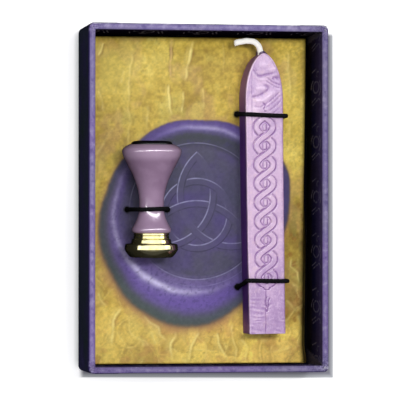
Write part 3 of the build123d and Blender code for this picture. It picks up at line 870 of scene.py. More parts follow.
# Creases in the parchment: (kind, half width, strength, points in mm). A ridge has a light crest and a shaded side,
# a fold is two dark lines with a rosy strip between them, a line is one dark hair.
CREASES = [
    ("ridge", 0.36, 0.9, [(-30.8, 49.9), (-31.6, 47.7), (-32.6, 45.3)]),
    ("ridge", 0.30, 0.5, [(-32.4, 35.2), (-31.8, 32.6), (-31.0, 30.2), (-30.5, 27.6)]),
    ("ridge", 0.34, 0.4, [(-21.6, 47.8), (-21.6, 45.0), (-22.3, 40.4), (-22.7, 34.0), (-22.6, 22.0)]),
    ("fold", 0.50, 1.0, [(-8.5, 52.0), (-8.9, 46.1), (-9.4, 42.5), (-9.5, 37.9)]),
    ("ridge", 0.32, 0.8, [(-9.8, 37.0), (-9.7, 32.3), (-9.2, 28.7), (-8.5, 26.2)]),
    ("ridge", 0.42, 1.0, [(-1.8, 51.2), (-2.6, 47.1), (-3.6, 43.2), (-4.0, 40.2), (-4.9, 37.4)]),
    ("ridge", 0.34, 0.6, [(-5.2, 34.9), (-5.4, 30.4), (-5.7, 27.0)]),
    ("ridge", 0.32, 0.5, [(1.4, 35.8), (1.7, 32.4), (1.4, 28.4)]),
    ("ridge", 0.40, 0.35, [(-16.7, 30.4), (-16.5, 25.2), (-17.1, 20.5)]),
    ("ridge", 0.55, 0.35, [(-24.1, 41.3), (-24.9, 38.5), (-25.4, 36.4)]),
    ("line", 0.22, 0.45, [(-26.0, 37.0), (-26.6, 34.4), (-27.4, 32.6)]),
    ("line", 0.26, 0.55, [(-33.0, 12.6), (-32.5, 9.2), (-33.2, 4.5)]),
    ("ridge", 0.40, 0.9, [(-24.4, -34.1), (-26.2, -36.5), (-27.5, -38.4), (-27.6, -42.2), (-27.9, -48.2)]),
    ("ridge", 0.42, 0.8, [(-18.6, -36.4), (-15.7, -38.9), (-13.3, -40.8), (-12.7, -43.2), (-9.7, -45.9)]),
    ("ridge", 0.42, 1.0, [(-7.1, -41.5), (-7.8, -43.9), (-9.2, -45.9), (-8.8, -48.7), (-8.5, -52.1)]),
    ("ridge", 0.38, 0.9, [(0.5, -41.8), (-0.9, -44.3), (-2.8, -46.9), (-3.5, -52.1)]),
    ("ridge", 0.34, 0.8, [(5.7, -42.1), (6.1, -45.8), (7.6, -48.2), (9.3, -51.9)]),
    ("ridge", 0.34, 0.6, [(11.0, -39.0), (10.8, -43.9), (12.1, -47.6), (11.4, -51.8)]),
    ("line", 0.24, 0.7, [(-22.9, -47.2), (-21.2, -48.9), (-20.6, -51.2)]),
    ("ridge", 0.34, 0.6, [(30.4, -18.6), (29.6, -21.3), (31.9, -23.4), (32.6, -27.6)]),
    ("ridge", 0.40, 0.5, [(28.3, -32.0), (30.6, -34.8), (32.9, -36.2)]),
    ("line", 0.26, 0.4, [(30.0, -38.6), (29.0, -43.5), (30.3, -48.3), (29.7, -52.1)]),
    ("ridge", 0.34, 0.5, [(20.5, -46.4), (22.5, -48.9), (26.4, -48.4), (31.7, -46.9)]),
    ("ridge", 0.36, 0.6, [(13.5, -44.2), (15.7, -47.5), (15.0, -52.1)]),
    ("line", 0.26, 0.6, [(-33.2, -24.3), (-30.9, -26.4), (-29.8, -29.0)]),
    ("ridge", 0.34, 0.7, [(-32.6, -29.5), (-31.0, -32.8), (-29.4, -34.2)]),
    ("ridge", 0.40, 0.4, [(29.4, 48.5), (28.9, 42.0), (29.8, 36.2), (29.2, 30.0)]),
    ("line", 0.24, 0.35, [(31.9, 22.0), (31.2, 14.0), (31.8, 8.0)]),
    ("line", 0.24, 0.4, [(8.3, 50.6), (8.9, 44.0), (8.1, 39.5)]),
]


def crease_field(x, y):
    """(light, dark, rosy) amounts at points of the card."""
    light, dark, rosy = np.zeros(x.shape), np.zeros(x.shape), np.zeros(x.shape)
    rng = np.random.default_rng(41)
    items = list(CREASES)
    for _ in range(24):
        cx, cy = rng.uniform(-33, 33), rng.uniform(-50, 50)
        crowded = cy < -20
        lean = rng.normal(0, 0.42 if crowded else 0.14)
        length = rng.uniform(3, 8) if crowded else rng.uniform(4, 15)
        pts, px, py = [], cx, cy
        for _k in range(4):
            pts.append((px, py))
            lean += rng.normal(0, 0.25 if crowded else 0.10)
            px, py = px + math.sin(lean) * length / 3, py - math.cos(lean) * length / 3
        items.append((("ridge", "line", "ridge")[rng.integers(3)], rng.uniform(0.24, 0.5), rng.uniform(0.15, 0.42), pts))
    wx = x + 0.45 * fbm(x / 3.2, y / 3.2, 0, 141, 2)
    wy = y + 0.30 * fbm(x / 3.2, y / 3.2, 4, 142, 2)
    for kind, width, strength, pts in items:
        pts = np.array(pts, float)
        lo, hi = pts.min(0) - 2.6, pts.max(0) + 2.6
        box = np.where((wx > lo[0]) & (wx < hi[0]) & (wy > lo[1]) & (wy < hi[1]))[0]
        if not len(box):
            continue
        qx, qy = wx[box], wy[box]
        seg = np.diff(pts, axis=0)
        size = np.linalg.norm(seg, axis=1)
        total = size.sum()
        best, signed, at = np.full(len(box), 99.0), np.zeros(len(box)), np.zeros(len(box))
        done = 0.0
        for (ax, ay), (sx, sy), n in zip(pts[:-1], seg, size):
            ux, uy = sx / n, sy / n
            t = np.clip((qx - ax) * ux + (qy - ay) * uy, 0, n)
            ox, oy = qx - ax - ux * t, qy - ay - uy * t
            d = np.hypot(ox, oy)
            nx, ny = uy, -ux
            if nx * 0.8 - ny * 0.6 < 0:
                nx, ny = -nx, -ny
            side = np.sign(ox * nx + oy * ny)
            closer = d < best
            best, signed, at = np.where(closer, d, best), np.where(closer, d * side, signed), np.where(closer, (done + t) / total, at)
            done += n
        fade = smooth(0.0, 0.14, at) * (1 - smooth(0.78, 1.0, at)) * strength
        fade = fade * (0.72 + 0.4 * noise(at * total / 2.2, strength * 40, 0, 143))
        if kind == "ridge":
            light[box] = np.maximum(light[box], fade * np.exp(-((signed / width) ** 2)))
            dark[box] = np.maximum(dark[box], 0.75 * fade * np.exp(-(((signed - 2.0 * width) / (0.9 * width)) ** 2)))
            light[box] = np.maximum(light[box], 0.25 * fade * np.exp(-(((signed + 2.2 * width) / (1.6 * width)) ** 2)))
        elif kind == "fold":
            for off in (-1.0, 1.15):
                dark[box] = np.maximum(dark[box], 0.95 * fade * np.exp(-(((signed - off * width) / (0.42 * width)) ** 2)))
            rosy[box] = np.maximum(rosy[box], 0.7 * fade * np.exp(-((signed / (0.6 * width)) ** 2)))
        else:
            dark[box] = np.maximum(dark[box], 0.8 * fade * np.exp(-((signed / width) ** 2)))
            light[box] = np.maximum(light[box], 0.35 * fade * np.exp(-(((signed + 1.8 * width) / width) ** 2)))
    return light, dark, rosy


def print_colour(x, y):
    """Linear colour of the print at a point of the unfolded card, in mm."""
    # ---- parchment: gold, olive and tan in soft clouds, mottled finely
    cloud = 1.5 * fbm(x / 17, y / 21, 0, 48, 3)
    patch = 1.5 * fbm(x / 5.2, y / 6.0, 0, 49, 3)
    fleck = 1.5 * fbm(x / 1.25, y / 1.25, 0, 47, 2)
    tone = 0.42 * cloud + 0.30 * patch + 0.27 * fleck
    # the sheet is lighter towards the bottom; on the right, painted light lifts it above the middle and painted shade
    # darkens it beside the wax low down
    tone = tone + 0.80 * smooth(-24, -42, y) + 0.06 * smooth(28, 44, y) + 0.34 * smooth(22, 28, x) * smooth(-4, 10, y)
    tone = tone - 0.60 * smooth(22, 28, x) * smooth(4, -14, y) * smooth(-43, -36, y)
    col = srgb_ramp(
        tone,
        (-1.0, (138, 110, 42)), (-0.5, (170, 141, 55)), (-0.2, (190, 162, 65)), (0.05, (203, 175, 73)), (0.35, (215, 188, 83)), (0.9, (235, 212, 106)),
    )
    olive = smooth(0.10, 0.55, 1.4 * fbm(x / 9, y / 13, 7.7, 50, 3)) + 0.7 * smooth(27, 32, x) * smooth(-5, -30, y)
    col = toward(col, (163, 157, 84), 0.42 * olive * (0.7 + 0.3 * fleck))
    tan = smooth(0.10, 0.55, 1.4 * fbm(x / 7, y / 8, 1.2, 51, 3))
    col = toward(col, (192, 154, 98), 0.42 * tan)
    lemon = smooth(0.12, 0.6, 1.4 * fbm(x / 6, y / 9, 9.1, 55, 3))
    col = toward(col, (219, 199, 96), 0.40 * lemon)
    warm = smooth(-20, -40, y) * (0.6 + 0.4 * smooth(-0.3, 0.3, cloud))
    col = toward(col, (232, 190, 92), 0.46 * warm)
    dot = smooth(0.56, 0.74, 1.5 * fbm(x / 0.8, y / 0.8, 3.1, 56, 2)) * smooth(0.0, 0.5, fbm(x / 6, y / 6, 5, 57, 2))
    col = toward(col, (142, 114, 56), 0.38 * dot)
    grit = 1.5 * fbm(x / 0.62, y / 0.62, 2.7, 69, 2)
    # painted light: gain makes the sheet lighter towards the bottom and along the right
    gain = 0.97 + 0.05 * smooth(-30, -42, y) + smooth(-37, -44, y) * (0.17 * smooth(-10, 0, x) + 0.19 * smooth(2, 16, x)) + 0.08 * smooth(22, 28, x) * smooth(-4, 8, y) + 0.05 * smooth(22, 28, x)
    col = col * ((1 + 0.15 * grit) * gain)[..., None]
    strip = smooth(24, 27, x) * smooth(8, -8, y) * smooth(-44, -38, y)
    col = toward(col, (150, 96, 40), 0.55 * strip * smooth(0.30, 0.60, 1.5 * fbm(x / 1.3, y / 1.6, 4.6, 71, 3)))
    col = toward(col, (128, 124, 60), 0.45 * strip * smooth(0.05, 0.50, 1.5 * fbm(x / 2.6, y / 5.0, 8.6, 72, 3)))
    # low down the sheet is crumpled into facets: each one is a little lighter or darker, with a bright ridge between
    low = smooth(-17, -34, y) * (0.75 + 0.25 * smooth(-36, -46, y)) + 0.55 * smooth(26, 31, x) * smooth(-8, -24, y)
    fx = x / 6.4 + 0.45 * fbm(x / 6, y / 6, 0, 58, 2)
    fy = y / 9.5 + 0.45 * fbm(x / 6, y / 6, 6, 59, 2)
    near, second, cell = worley(fx, fy, 45)
    low = np.clip(low, 0, 1)
    col = toward(col, (162, 122, 62), 0.44 * low * smooth(0.50, 1.0, cell))
    col = toward(col, (244, 212, 108), 0.44 * low * smooth(0.50, 0.0, cell))
    ruddy = low * smooth(0.18, 0.55, 1.5 * fbm(x / 3.4, y / 3.0, 6.3, 70, 3))
    col = toward(col, (198, 142, 84), 0.36 * ruddy)
    ridge = np.exp(-(((second - near) / 0.060) ** 2)) * smooth(0.38, 0.76, 0.5 + fbm(x / 4, y / 4, 2, 60, 2))
    shade = np.exp(-(((second - near - 0.16) / 0.12) ** 2)) * smooth(0.38, 0.74, 0.5 + fbm(x / 5, y / 4, 8, 67, 2))
    light, dark, rosy = crease_field(x, y)
    soften = 1 - 0.10 * low
    light = np.maximum(light * soften, 0.30 * ridge * low)
    dark = np.maximum(dark * soften, 0.36 * shade * low)
    col = toward(col, (128, 88, 46), 0.66 * dark)
    col = toward(col, (196, 156, 120), rosy)
    col = toward(col, (250, 232, 142), 0.92 * light)

    # ---- wax seal: a poured rim round a pressed disc, lit from the top of the sheet
    sx, sy = x - KNOT_CENTRE[0], y - KNOT_CENTRE[1]
    theta, rho = np.arctan2(sy, sx), np.hypot(sx, sy)
    sin_t, cos_t = np.sin(theta), np.cos(theta)
    rim = seal_outline(theta)
    depth = rim - rho
    width = rim - SEAL_DISC
    t = depth / width + 0.03 * fbm(x / 4, y / 4, 0, 61, 2)

    def facing(degrees, sharp):
        return np.exp(sharp * (np.cos(theta - math.radians(degrees)) - 1))

    w_top, w_left, w_low, w_right = facing(92, 3.2), facing(176, 5.0), facing(248, 3.2), facing(-12, 3.2)
    total = w_top + w_left + w_low + w_right
    top = srgb_ramp(
        t, (0.0, (92, 72, 142)), (0.17, (99, 77, 156)), (0.30, (103, 83, 163)), (0.40, (86, 76, 128)), (0.52, (66, 68, 82)),
        (0.64, (61, 66, 72)), (0.78, (66, 67, 84)), (1.0, (72, 69, 92)), (1.15, (77, 73, 100)),
    )
    left = srgb_ramp(
        t, (0.0, (72, 76, 78)), (0.13, (70, 72, 84)), (0.24, (83, 77, 103)), (0.34, (92, 78, 130)), (0.46, (94, 76, 138)), (0.58, (82, 67, 124)),
        (0.70, (74, 67, 104)), (0.85, (64, 60, 88)), (1.0, (62, 58, 86)), (1.2, (74, 70, 98)),
    )
    bottom = srgb_ramp(
        t, (0.0, (74, 86, 80)), (0.14, (76, 86, 88)), (0.22, (84, 84, 104)), (0.32, (100, 86, 142)), (0.44, (109, 87, 164)), (0.62, (109, 86, 164)),
        (0.90, (108, 91, 152)), (1.03, (109, 94, 146)), (1.12, (96, 88, 127)), (1.22, (83, 78, 108)),
    )
    right = srgb_ramp(t, (0.0, (84, 76, 112)), (0.2, (84, 72, 128)), (0.45, (76, 64, 126)), (0.75, (70, 60, 112)), (1.1, (76, 71, 104)))
    wax = (0.74 * top * w_top[..., None] + 0.78 * left * w_left[..., None] + 0.90 * bottom * w_low[..., None] + 0.80 * right * w_right[..., None]) / total[..., None]
    # the crest's shine: on the outer slope at the top, on the inner slope below
    crest = 0.52 - 0.25 * sin_t + 0.06 * cos_t + 0.02 * np.sin(3 * theta + 1)
    shine = 0.56 * facing(233, 9.0) + 0.32 * facing(80, 12.0) + 0.20 * facing(182, 9.0) + 0.16 * facing(262, 9.0)
    sigma = 0.62 + 0.32 * facing(240, 2.5)
    off = (t - crest) * width
    glow = shine * (np.exp(-((off / sigma) ** 2)) + 0.22 * np.exp(-((off / (2.4 * sigma)) ** 2)))
    wax = toward(wax, (222, 215, 248), glow * (0.92 + 0.16 * fbm(x / 1.4, y / 1.4, 0, 62, 2)))
    # pressed disc
    disc = 1 - smooth(19.6, 21.6, np.hypot(sx, sy - 1.2))
    fog = 1.5 * fbm(x / 7, y / 7, 4.4, 63, 3)
    face = srgb_ramp(fog, (-0.8, (76, 76, 100)), (-0.1, (83, 79, 108)), (0.3, (83, 76, 116)), (0.8, (86, 75, 130)))
    face = toward(face, (72, 62, 120), 0.55 * (1 - smooth(4, 15, np.hypot(sx - 3.0, sy - 5.0))) * (0.7 + 0.3 * fog))
    # painted shade of the stamp: the disc darkens on its left, beside and under the handle
    face = toward(face, (60, 54, 92), 0.5 * smooth(-2, -15, sx) * smooth(18, 4, np.abs(sy)))
    wax = mix(wax, face * np.array([0.80, 0.80, 0.76]), disc)
    speck = smooth(0.42, 0.62, 1.5 * fbm(x / 0.9, y / 0.9, 0, 65, 2))
    wax = toward(wax, (58, 48, 98), 0.34 * speck * (1 - 0.5 * disc) * smooth(0.2, 0.5, t))
    wax = wax * (1 + 0.10 * 1.5 * fbm(x / 0.8, y / 0.8, 0, 64, 2) + 0.05 * fbm(x / 3, y / 3, 0, 66, 3))[..., None]
    # warm shadow round the seal, wide below and narrow above
    lowside = 0.5 - 0.5 * np.sin(theta + 0.25)
    wide = 0.55 + 2.2 * lowside**1.5
    skirt = np.exp(-((np.clip(-depth, 0, None) / wide) ** 1.5))
    col = toward(col, (176, 122, 88), 0.75 * skirt * (0.5 + 0.5 * lowside))
    col = toward(col, (92, 80, 70), 0.85 * np.exp(-((np.clip(-depth, 0, None) / (0.45 * wide)) ** 1.6)))
    soft = 0.40 + 0.35 * lowside
    col = mix(col, wax, smooth(-soft, soft, depth + 0.2 * noise(x / 1.1, y / 1.1, 0, 68)))
    # painted shade: the sheet darkens where it rolls over the folds, and round each punched hole
    painted_edge_shade = smooth(-0.75 - 0.5 * smooth(10, -20, y), 0.9, x - 33.4 - edge_lean(y)) * 0.74
    painted_edge_shade = np.maximum(painted_edge_shade, 0.62 * smooth(-52.0, -53.0, y))
    painted_edge_shade = np.maximum(painted_edge_shade, 0.55 * smooth(51.0, 51.9, y))
    painted_edge_shade = np.maximum(painted_edge_shade, 0.45 * smooth(-35.0, -35.9, x))
    col = col * (1 - painted_edge_shade)[..., None]
    for hx, hy in STAMP_HOLES + UPPER_HOLES + LOWER_HOLES:
        col = col * (1 - 0.93 * smooth(1.55, 1.0, np.hypot(x - hx, y - hy)))[..., None]
    return np.clip(col, 0, 1)


def card_material():
    g = Graph("printed_card", roughness=0.6, specular_ior_level=0.12)
    p = g.place()
    px, py, _ = g.parts(p)
    face = g.attribute("face", colour=False)
    parchment = g.attribute("parchment", colour=False)
    grain = g.noise(p, 2.6, 4.0, 0.7)
    tooth = g.noise(p, 8.0, 3.0, 0.7)
    soft = g.noise(p, 0.9, 3.0, 0.6)
    colour = g.attribute("print")
    factor = (grain - 0.5) * 0.42 + (soft - 0.5) * 0.16 * parchment + 1.0
    colour = g.scale(colour, factor)

    # ---- knot: three bands and a ring, plaited over and under, drawn by their edges
    kx, ky = px - KNOT_CENTRE[0], py - KNOT_CENTRE[1]
    lx, ly = -0.50, 0.866
    far = g.math("SQRT", kx * kx + ky * ky)
    bands = []
    for degrees in (150, 270, 30):
        ca, sa = math.cos(math.radians(degrees)), math.sin(math.radians(degrees))
        dx, dy = kx - KNOT_C * ca, ky - KNOT_C * sa
        rho = g.math("SQRT", dx * dx + dy * dy)
        valid = g.step(far * 0.5 - (kx * ca + ky * sa), -0.05, 0.12)
        half = g.step(ky * ca - kx * sa, -0.05, 0.05)           # which half of the band, 1 past its middle
        bands.append((rho - KNOT_ARC, (dx * lx + dy * ly) / rho, valid, half))
    ring = far - KNOT_RING
    ring_lit = (kx * lx + ky * ly) / (far + 0.001)
    w = KNOT_BAND

    def body(off, margin):
        return g.step(abs(off), w + margin, w + margin + 0.16, 1.0, 0.0)

    def edges(off, lit, seen):
        line = g.step(abs(abs(off) - w), 0.08, 0.31, 1.0, 0.0)
        outward = g.math("SIGN", off)
        lit = lit * outward
        return line * seen * g.step(lit, 0.05, 0.75), line * seen * g.step(lit, -0.75, -0.05, 1.0, 0.0)

    near_ring = body(ring, 0.24)
    lights, darks, fills = [], [], []
    ring_seen = 1.0
    for k, (off, lit, valid, half) in enumerate(bands):
        hidden = None
        for j, (off2, _, valid2, _) in enumerate(bands):
            if j != k:
                cover = body(off2, 0.24) * valid2 * half
                hidden = cover if hidden is None else g.high(hidden, cover)
        hidden = g.high(hidden, near_ring * (1.0 - half))
        seen = (1.0 - hidden) * valid
        light, dark = edges(off, lit, seen)
        lights.append(light)
        darks.append(dark)
        fills.append(body(off, 0.0) * seen)
        ring_seen = (1.0 - body(off, 0.24) * valid * half) * ring_seen
    light, dark = edges(ring, ring_lit, ring_seen)
    lights.append(light)
    darks.append(dark)
    fills.append(body(ring, 0.0) * ring_seen)

    def most(items):
        out = items[0]
        for item in items[1:]:
            out = g.high(out, item)
        return out

    lights, darks, fills = most(lights), most(darks), most(fills)
    # thin line round the pressed disc, double low on the left
    cy = ky - 1.2
    away = g.math("SQRT", kx * kx + cy * cy)
    turn = (kx * -0.35 + cy * 0.93) / (away + 0.001)
    strong = g.step(abs(turn), 0.25, 0.95, 0.10, 1.0)
    circle = g.step(abs(away - SEAL_DISC), 0.06, 0.30, 1.0, 0.0) * strong
    outer = g.step(abs(away - SEAL_DISC - 2.2), 0.06, 0.26, 1.0, 0.0) * g.step(turn, -0.95, -0.6, 0.55, 0.0)
    groove = g.step(abs(away - SEAL_DISC + 0.40), 0.05, 0.32, 1.0, 0.0) * strong
    patchy = g.step(g.noise(p, 0.45, 3.0, 0.6), 0.30, 0.62, 0.45, 1.0)
    colour = g.mix(fills * face * 0.30, colour, lc(82, 77, 110))
    colour = g.mix(g.high(darks * 0.62, groove * 0.30) * face * patchy, colour, lc(42, 38, 62))
    bright = g.high(lights * g.step(kx, -12.0, 16.0, 0.74, 0.46), g.high(circle * 0.36, outer * 0.30))
    colour = g.mix(bright * face * patchy, colour, lc(158, 156, 194))

    raw = g.ramp(grain, (0.3, lc(196, 190, 176)), (0.7, lc(222, 217, 204)))
    colour = g.mix(face, raw, colour)
    bump = g.bump(tooth * 0.5 + grain * 0.5, 0.15, 0.03)
    return g.set(colour=colour, roughness=g.step(grain, 0.3, 0.7, 0.52, 0.66), normal=bump)


def edge_lean(y):
    """How far the card's right edge stands out at a height y of the picture."""
    return 0.36 + 0.0125 * y + 0.10 * np.sin(y / 21.0) + 0.55 * smooth(-46.0, -52.0, y)


def card_warp(x, y):
    """How far the card's top stands off its nominal height."""
    bow = 0.10 * np.sin((y + 50) / 34.0) - 0.12 * smooth(24, 35, x) * (0.5 + 0.5 * np.sin(y / 17.0))
    return bow - 0.05 + 0.035 * fbm(x / 12, y / 12, 0, 81, 2)


def insert_card():
    step = 0.3
    verts, plan, face_flag = [], [], []
    x0, x1 = -35.8 + 0.6, 34.0 - 0.6
    y0, y1 = -52.45 + 0.6, 51.9 - 0.6
    nx, ny = int(round((x1 - x0) / step)) + 1, int(round((y1 - y0) / step)) + 1
    gx, gy = np.meshgrid(np.linspace(x0, x1, nx), np.linspace(y0, y1, ny), indexing="ij")
    # the right edge runs in a little towards the bottom of the picture
    across = (gx - x0) / (x1 - x0)
    gx = gx + across * edge_lean(gy)
    keep = np.ones(gx.shape, bool)
    rings = []
    for hx, hy in STAMP_HOLES + UPPER_HOLES + LOWER_HOLES:
        dx, dy = gx - hx, gy - hy
        rho = np.hypot(dx, dy)
        inside = rho < 0.66
        keep &= ~inside
        reach = 2.6
        zone = (rho < reach) & ~inside
        new = HOLE_R + (rho - 0.66) / (reach - 0.66) * (reach - HOLE_R)
        scale = np.where(zone, new / np.maximum(rho, 1e-6), 1.0)
        gx, gy = np.where(zone, hx + dx * scale, gx), np.where(zone, hy + dy * scale, gy)
    gz = CARD_TOP + card_warp(gx, gy)
    # dimple where the cord pulls the card round each hole
    for hx, hy in STAMP_HOLES + UPPER_HOLES + LOWER_HOLES:
        gz = gz + 0.10 * np.exp(-((np.hypot(gx - hx, gy - hy) / 1.7) ** 2))
    verts.append(np.stack([gx, gy, gz], -1).reshape(-1, 3))
    plan.append(np.stack([gx, gy], -1).reshape(-1, 2))
    index = np.arange(nx * ny).reshape(nx, ny)
    q = grid_faces(nx, ny)
    ok = keep.reshape(-1)[q].all(1)
    faces = [tuple(f) for f in q[ok]]
    used = np.zeros(nx * ny, bool)
    used[q[ok].ravel()] = True
    # snap the border of each hole onto its circle
    count = np.zeros(nx * ny, int)
    np.add.at(count, q[ok].ravel(), 1)
    border = used & (count < 4)
    flatv = verts[0]
    hole_loops = []
    for hx, hy in STAMP_HOLES + UPPER_HOLES + LOWER_HOLES:
        rho = np.hypot(flatv[:, 0] - hx, flatv[:, 1] - hy)
        ids = np.where(border & (rho < 2.0))[0]
        ang = np.arctan2(flatv[ids, 1] - hy, flatv[ids, 0] - hx)
        flatv[ids, 0] = hx + HOLE_R * np.cos(ang)
        flatv[ids, 1] = hy + HOLE_R * np.sin(ang)
        hole_loops.append(ids[np.argsort(ang)])
    face_flag.append(np.ones(nx * ny))
    total = nx * ny

    # walls of the holes
    for ids in hole_loops:
        ring = flatv[ids].copy()
        ring[:, 2] -= CARD_T + 0.05
        verts.append(ring)
        plan.append(ring[:, :2])
        face_flag.append(np.ones(len(ids)))
        m = len(ids)
        for i in range(m):
            j = (i + 1) % m
            faces.append((int(ids[i]), int(ids[j]), total + j, total + i))
        total += m

    # flanges on all four sides: a rounded fold, then down to the floor, meeting in a butt at each corner
    ring = np.concatenate([index[:-1, 0], index[-1, :-1], index[:0:-1, -1], index[0, :0:-1]])
    m = len(ring)
    at = np.arange(m)
    n1, n2, n3 = nx - 1, nx - 1 + ny - 1, 2 * (nx - 1) + ny - 1
    out = np.zeros((m, 2))
    out[(at <= n1) , 1] = -1.0
    out[(at >= n1) & (at <= n2), 0] = 1.0
    out[(at >= n2) & (at <= n3), 1] = 1.0
    out[(at >= n3) | (at == 0), 0] = -1.0
    top = flatv[ring].copy()
    base = np.stack([gx, gy], -1).reshape(-1, 2)[ring]
    flare = np.zeros((m, 2))
    flare[:, 0] = np.where(out[:, 0] > 0, 1.25 * smooth(22, -18, base[:, 1]), 0.0)
    flare[:, 1] = np.where(out[:, 1] < 0, 0.35, 0.0)
    fold = 0.6 + 0.25 * ((out[:, 0] > 0) * smooth(10, -20, base[:, 1]))
    steps = []
    for angle in (15, 32, 50, 68, 84):
        q = math.radians(angle)
        steps.append((fold * math.sin(q), -fold * (1 - math.cos(q)), fold * q, 0.0))
    for k in range(1, 9):
        t = k / 8
        drop = (CARD_TOP - FLOOR_Z - fold) * t
        steps.append((fold, -fold - drop, fold * 1.57 + drop, t**1.2))
    def close(first, second):
        for i in range(m):
            j = (i + 1) % m
            faces.append((int(first[i]), int(second[i]), int(second[j]), int(first[j])))

    previous = ring
    for push, down, run, opened in steps:
        wave = 0.06 * noise(top[:, 0] / 9, top[:, 1] / 9, 91) * np.minimum(1.0, run / 2)
        pts = top.copy()
        pts[:, :2] += out * (push + wave)[:, None] + out * flare * opened
        pts[:, 2] = np.maximum(top[:, 2] + down, FLOOR_Z + 0.03)
        verts.append(pts)
        plan.append(base + out * run[:, None])
        face_flag.append(np.ones(m))
        current = np.arange(total, total + m)
        close(previous, current)
        previous = current
        total += m
    # cut edge of the board, and the inner face up to the panel
    hem = verts[-1]
    for rise, inward in ((0.0, CARD_T), (CARD_TOP - CARD_T - 0.1, CARD_T + 0.2)):
        pts = hem.copy()
        pts[:, :2] -= out * inward
        if rise:
            pts[:, :2] -= out * flare
            pts[:, 2] = rise
        verts.append(pts)
        plan.append(plan[-1])
        face_flag.append(np.zeros(m))
        current = np.arange(total, total + m)
        close(previous, current)
        previous = current
        total += m

    # underside of the panel, coarse
    ux, uy = np.meshgrid(np.linspace(x0, x1, 36), np.linspace(y0, y1, 53), indexing="ij")
    ux = ux + (ux - x0) / (x1 - x0) * edge_lean(uy)
    uz = CARD_TOP - CARD_T + card_warp(ux, uy)
    verts.append(np.stack([ux, uy, uz], -1).reshape(-1, 3))
    plan.append(np.stack([ux, uy], -1).reshape(-1, 2))
    face_flag.append(np.zeros(ux.size))
    faces += [tuple(f) for f in grid_faces(36, 53, start=total, flip=True)]
    total += ux.size

    V = np.concatenate(verts)
    P = np.concatenate(plan)
    flag = np.concatenate(face_flag)
    colour = print_colour(P[:, 0], P[:, 1])
    sx, sy = P[:, 0] - KNOT_CENTRE[0], P[:, 1] - KNOT_CENTRE[1]
    depth = seal_outline(np.arctan2(sy, sx)) - np.hypot(sx, sy)
    parchment = 1 - smooth(-2.0, 0.0, depth)
    # drop the vertices that nothing uses
    faces_arr = faces
    used = np.zeros(len(V), bool)
    for f in faces_arr:
        for i in f:
            used[i] = True
    remap = np.cumsum(used) - 1
    faces_arr = [tuple(int(remap[i]) for i in f) for f in faces_arr]
    return make(
        "platform_card", V[used], faces_arr, "insert", card_material(), replaces=("insert_card",),
        colours={"print": colour[used]}, floats={"face": flag[used], "parchment": parchment[used]}, sharp=50,
    )


card = insert_card()
card.visible_glossy = False      # the polished parts reflect the dark tray rather than the bright sheet under them

# =================================================================================================
# stick of sealing wax
# =================================================================================================
WAX_T, WAX_L, WAX_OGIVE = 11.3, 88.9, 14.5
WAX_END = (20.2, -42.7)
WAX_LEAN = math.radians(0.72)


def wax_half_width(v):
    """Half the stick's width at a distance v from its flat end."""
    straight = WAX_L - WAX_OGIVE
    body = 5.76 + 0.27 * np.clip(v / straight, 0, 1)
    t = np.clip((v - straight) / WAX_OGIVE, 0, 1)
    return body * (1 - t**2) ** 0.58


def marks(u, v, lines):
    """Soft strokes along polylines: each is (half width, strength, points)."""
    out = np.zeros(np.broadcast(u, v).shape)
    for width, strength, pts in lines:
        pts = spline_points([(x, y, 0.0) for x, y in pts], resolution=6)[:, :2] if len(pts) > 2 else np.array(pts, float)
        near = (v > pts[:, 1].min() - 1.5) & (v < pts[:, 1].max() + 1.5)
        ids = np.where(near)
        qu, qv = u[ids], v[ids]
        seg = np.diff(pts, axis=0)
        size = np.maximum(np.linalg.norm(seg, axis=1), 1e-6)
        total, done = size.sum(), 0.0
        best, at = np.full(qu.shape, 99.0), np.zeros(qu.shape)
        for (ax, ay), (sx, sy), n in zip(pts[:-1], seg, size):
            t = np.clip(((qu - ax) * sx + (qv - ay) * sy) / n, 0, n)
            d = np.hypot(qu - ax - sx / n * t, qv - ay - sy / n * t)
            closer = d < best
            best, at = np.where(closer, d, best), np.where(closer, (done + t) / total, at)
            done += n
        taper = smooth(0.0, 0.12, at) * (1 - smooth(0.80, 1.0, at))
        out[ids] = np.maximum(out[ids], strength * taper * np.exp(-((best / width) ** 2)))
    return out


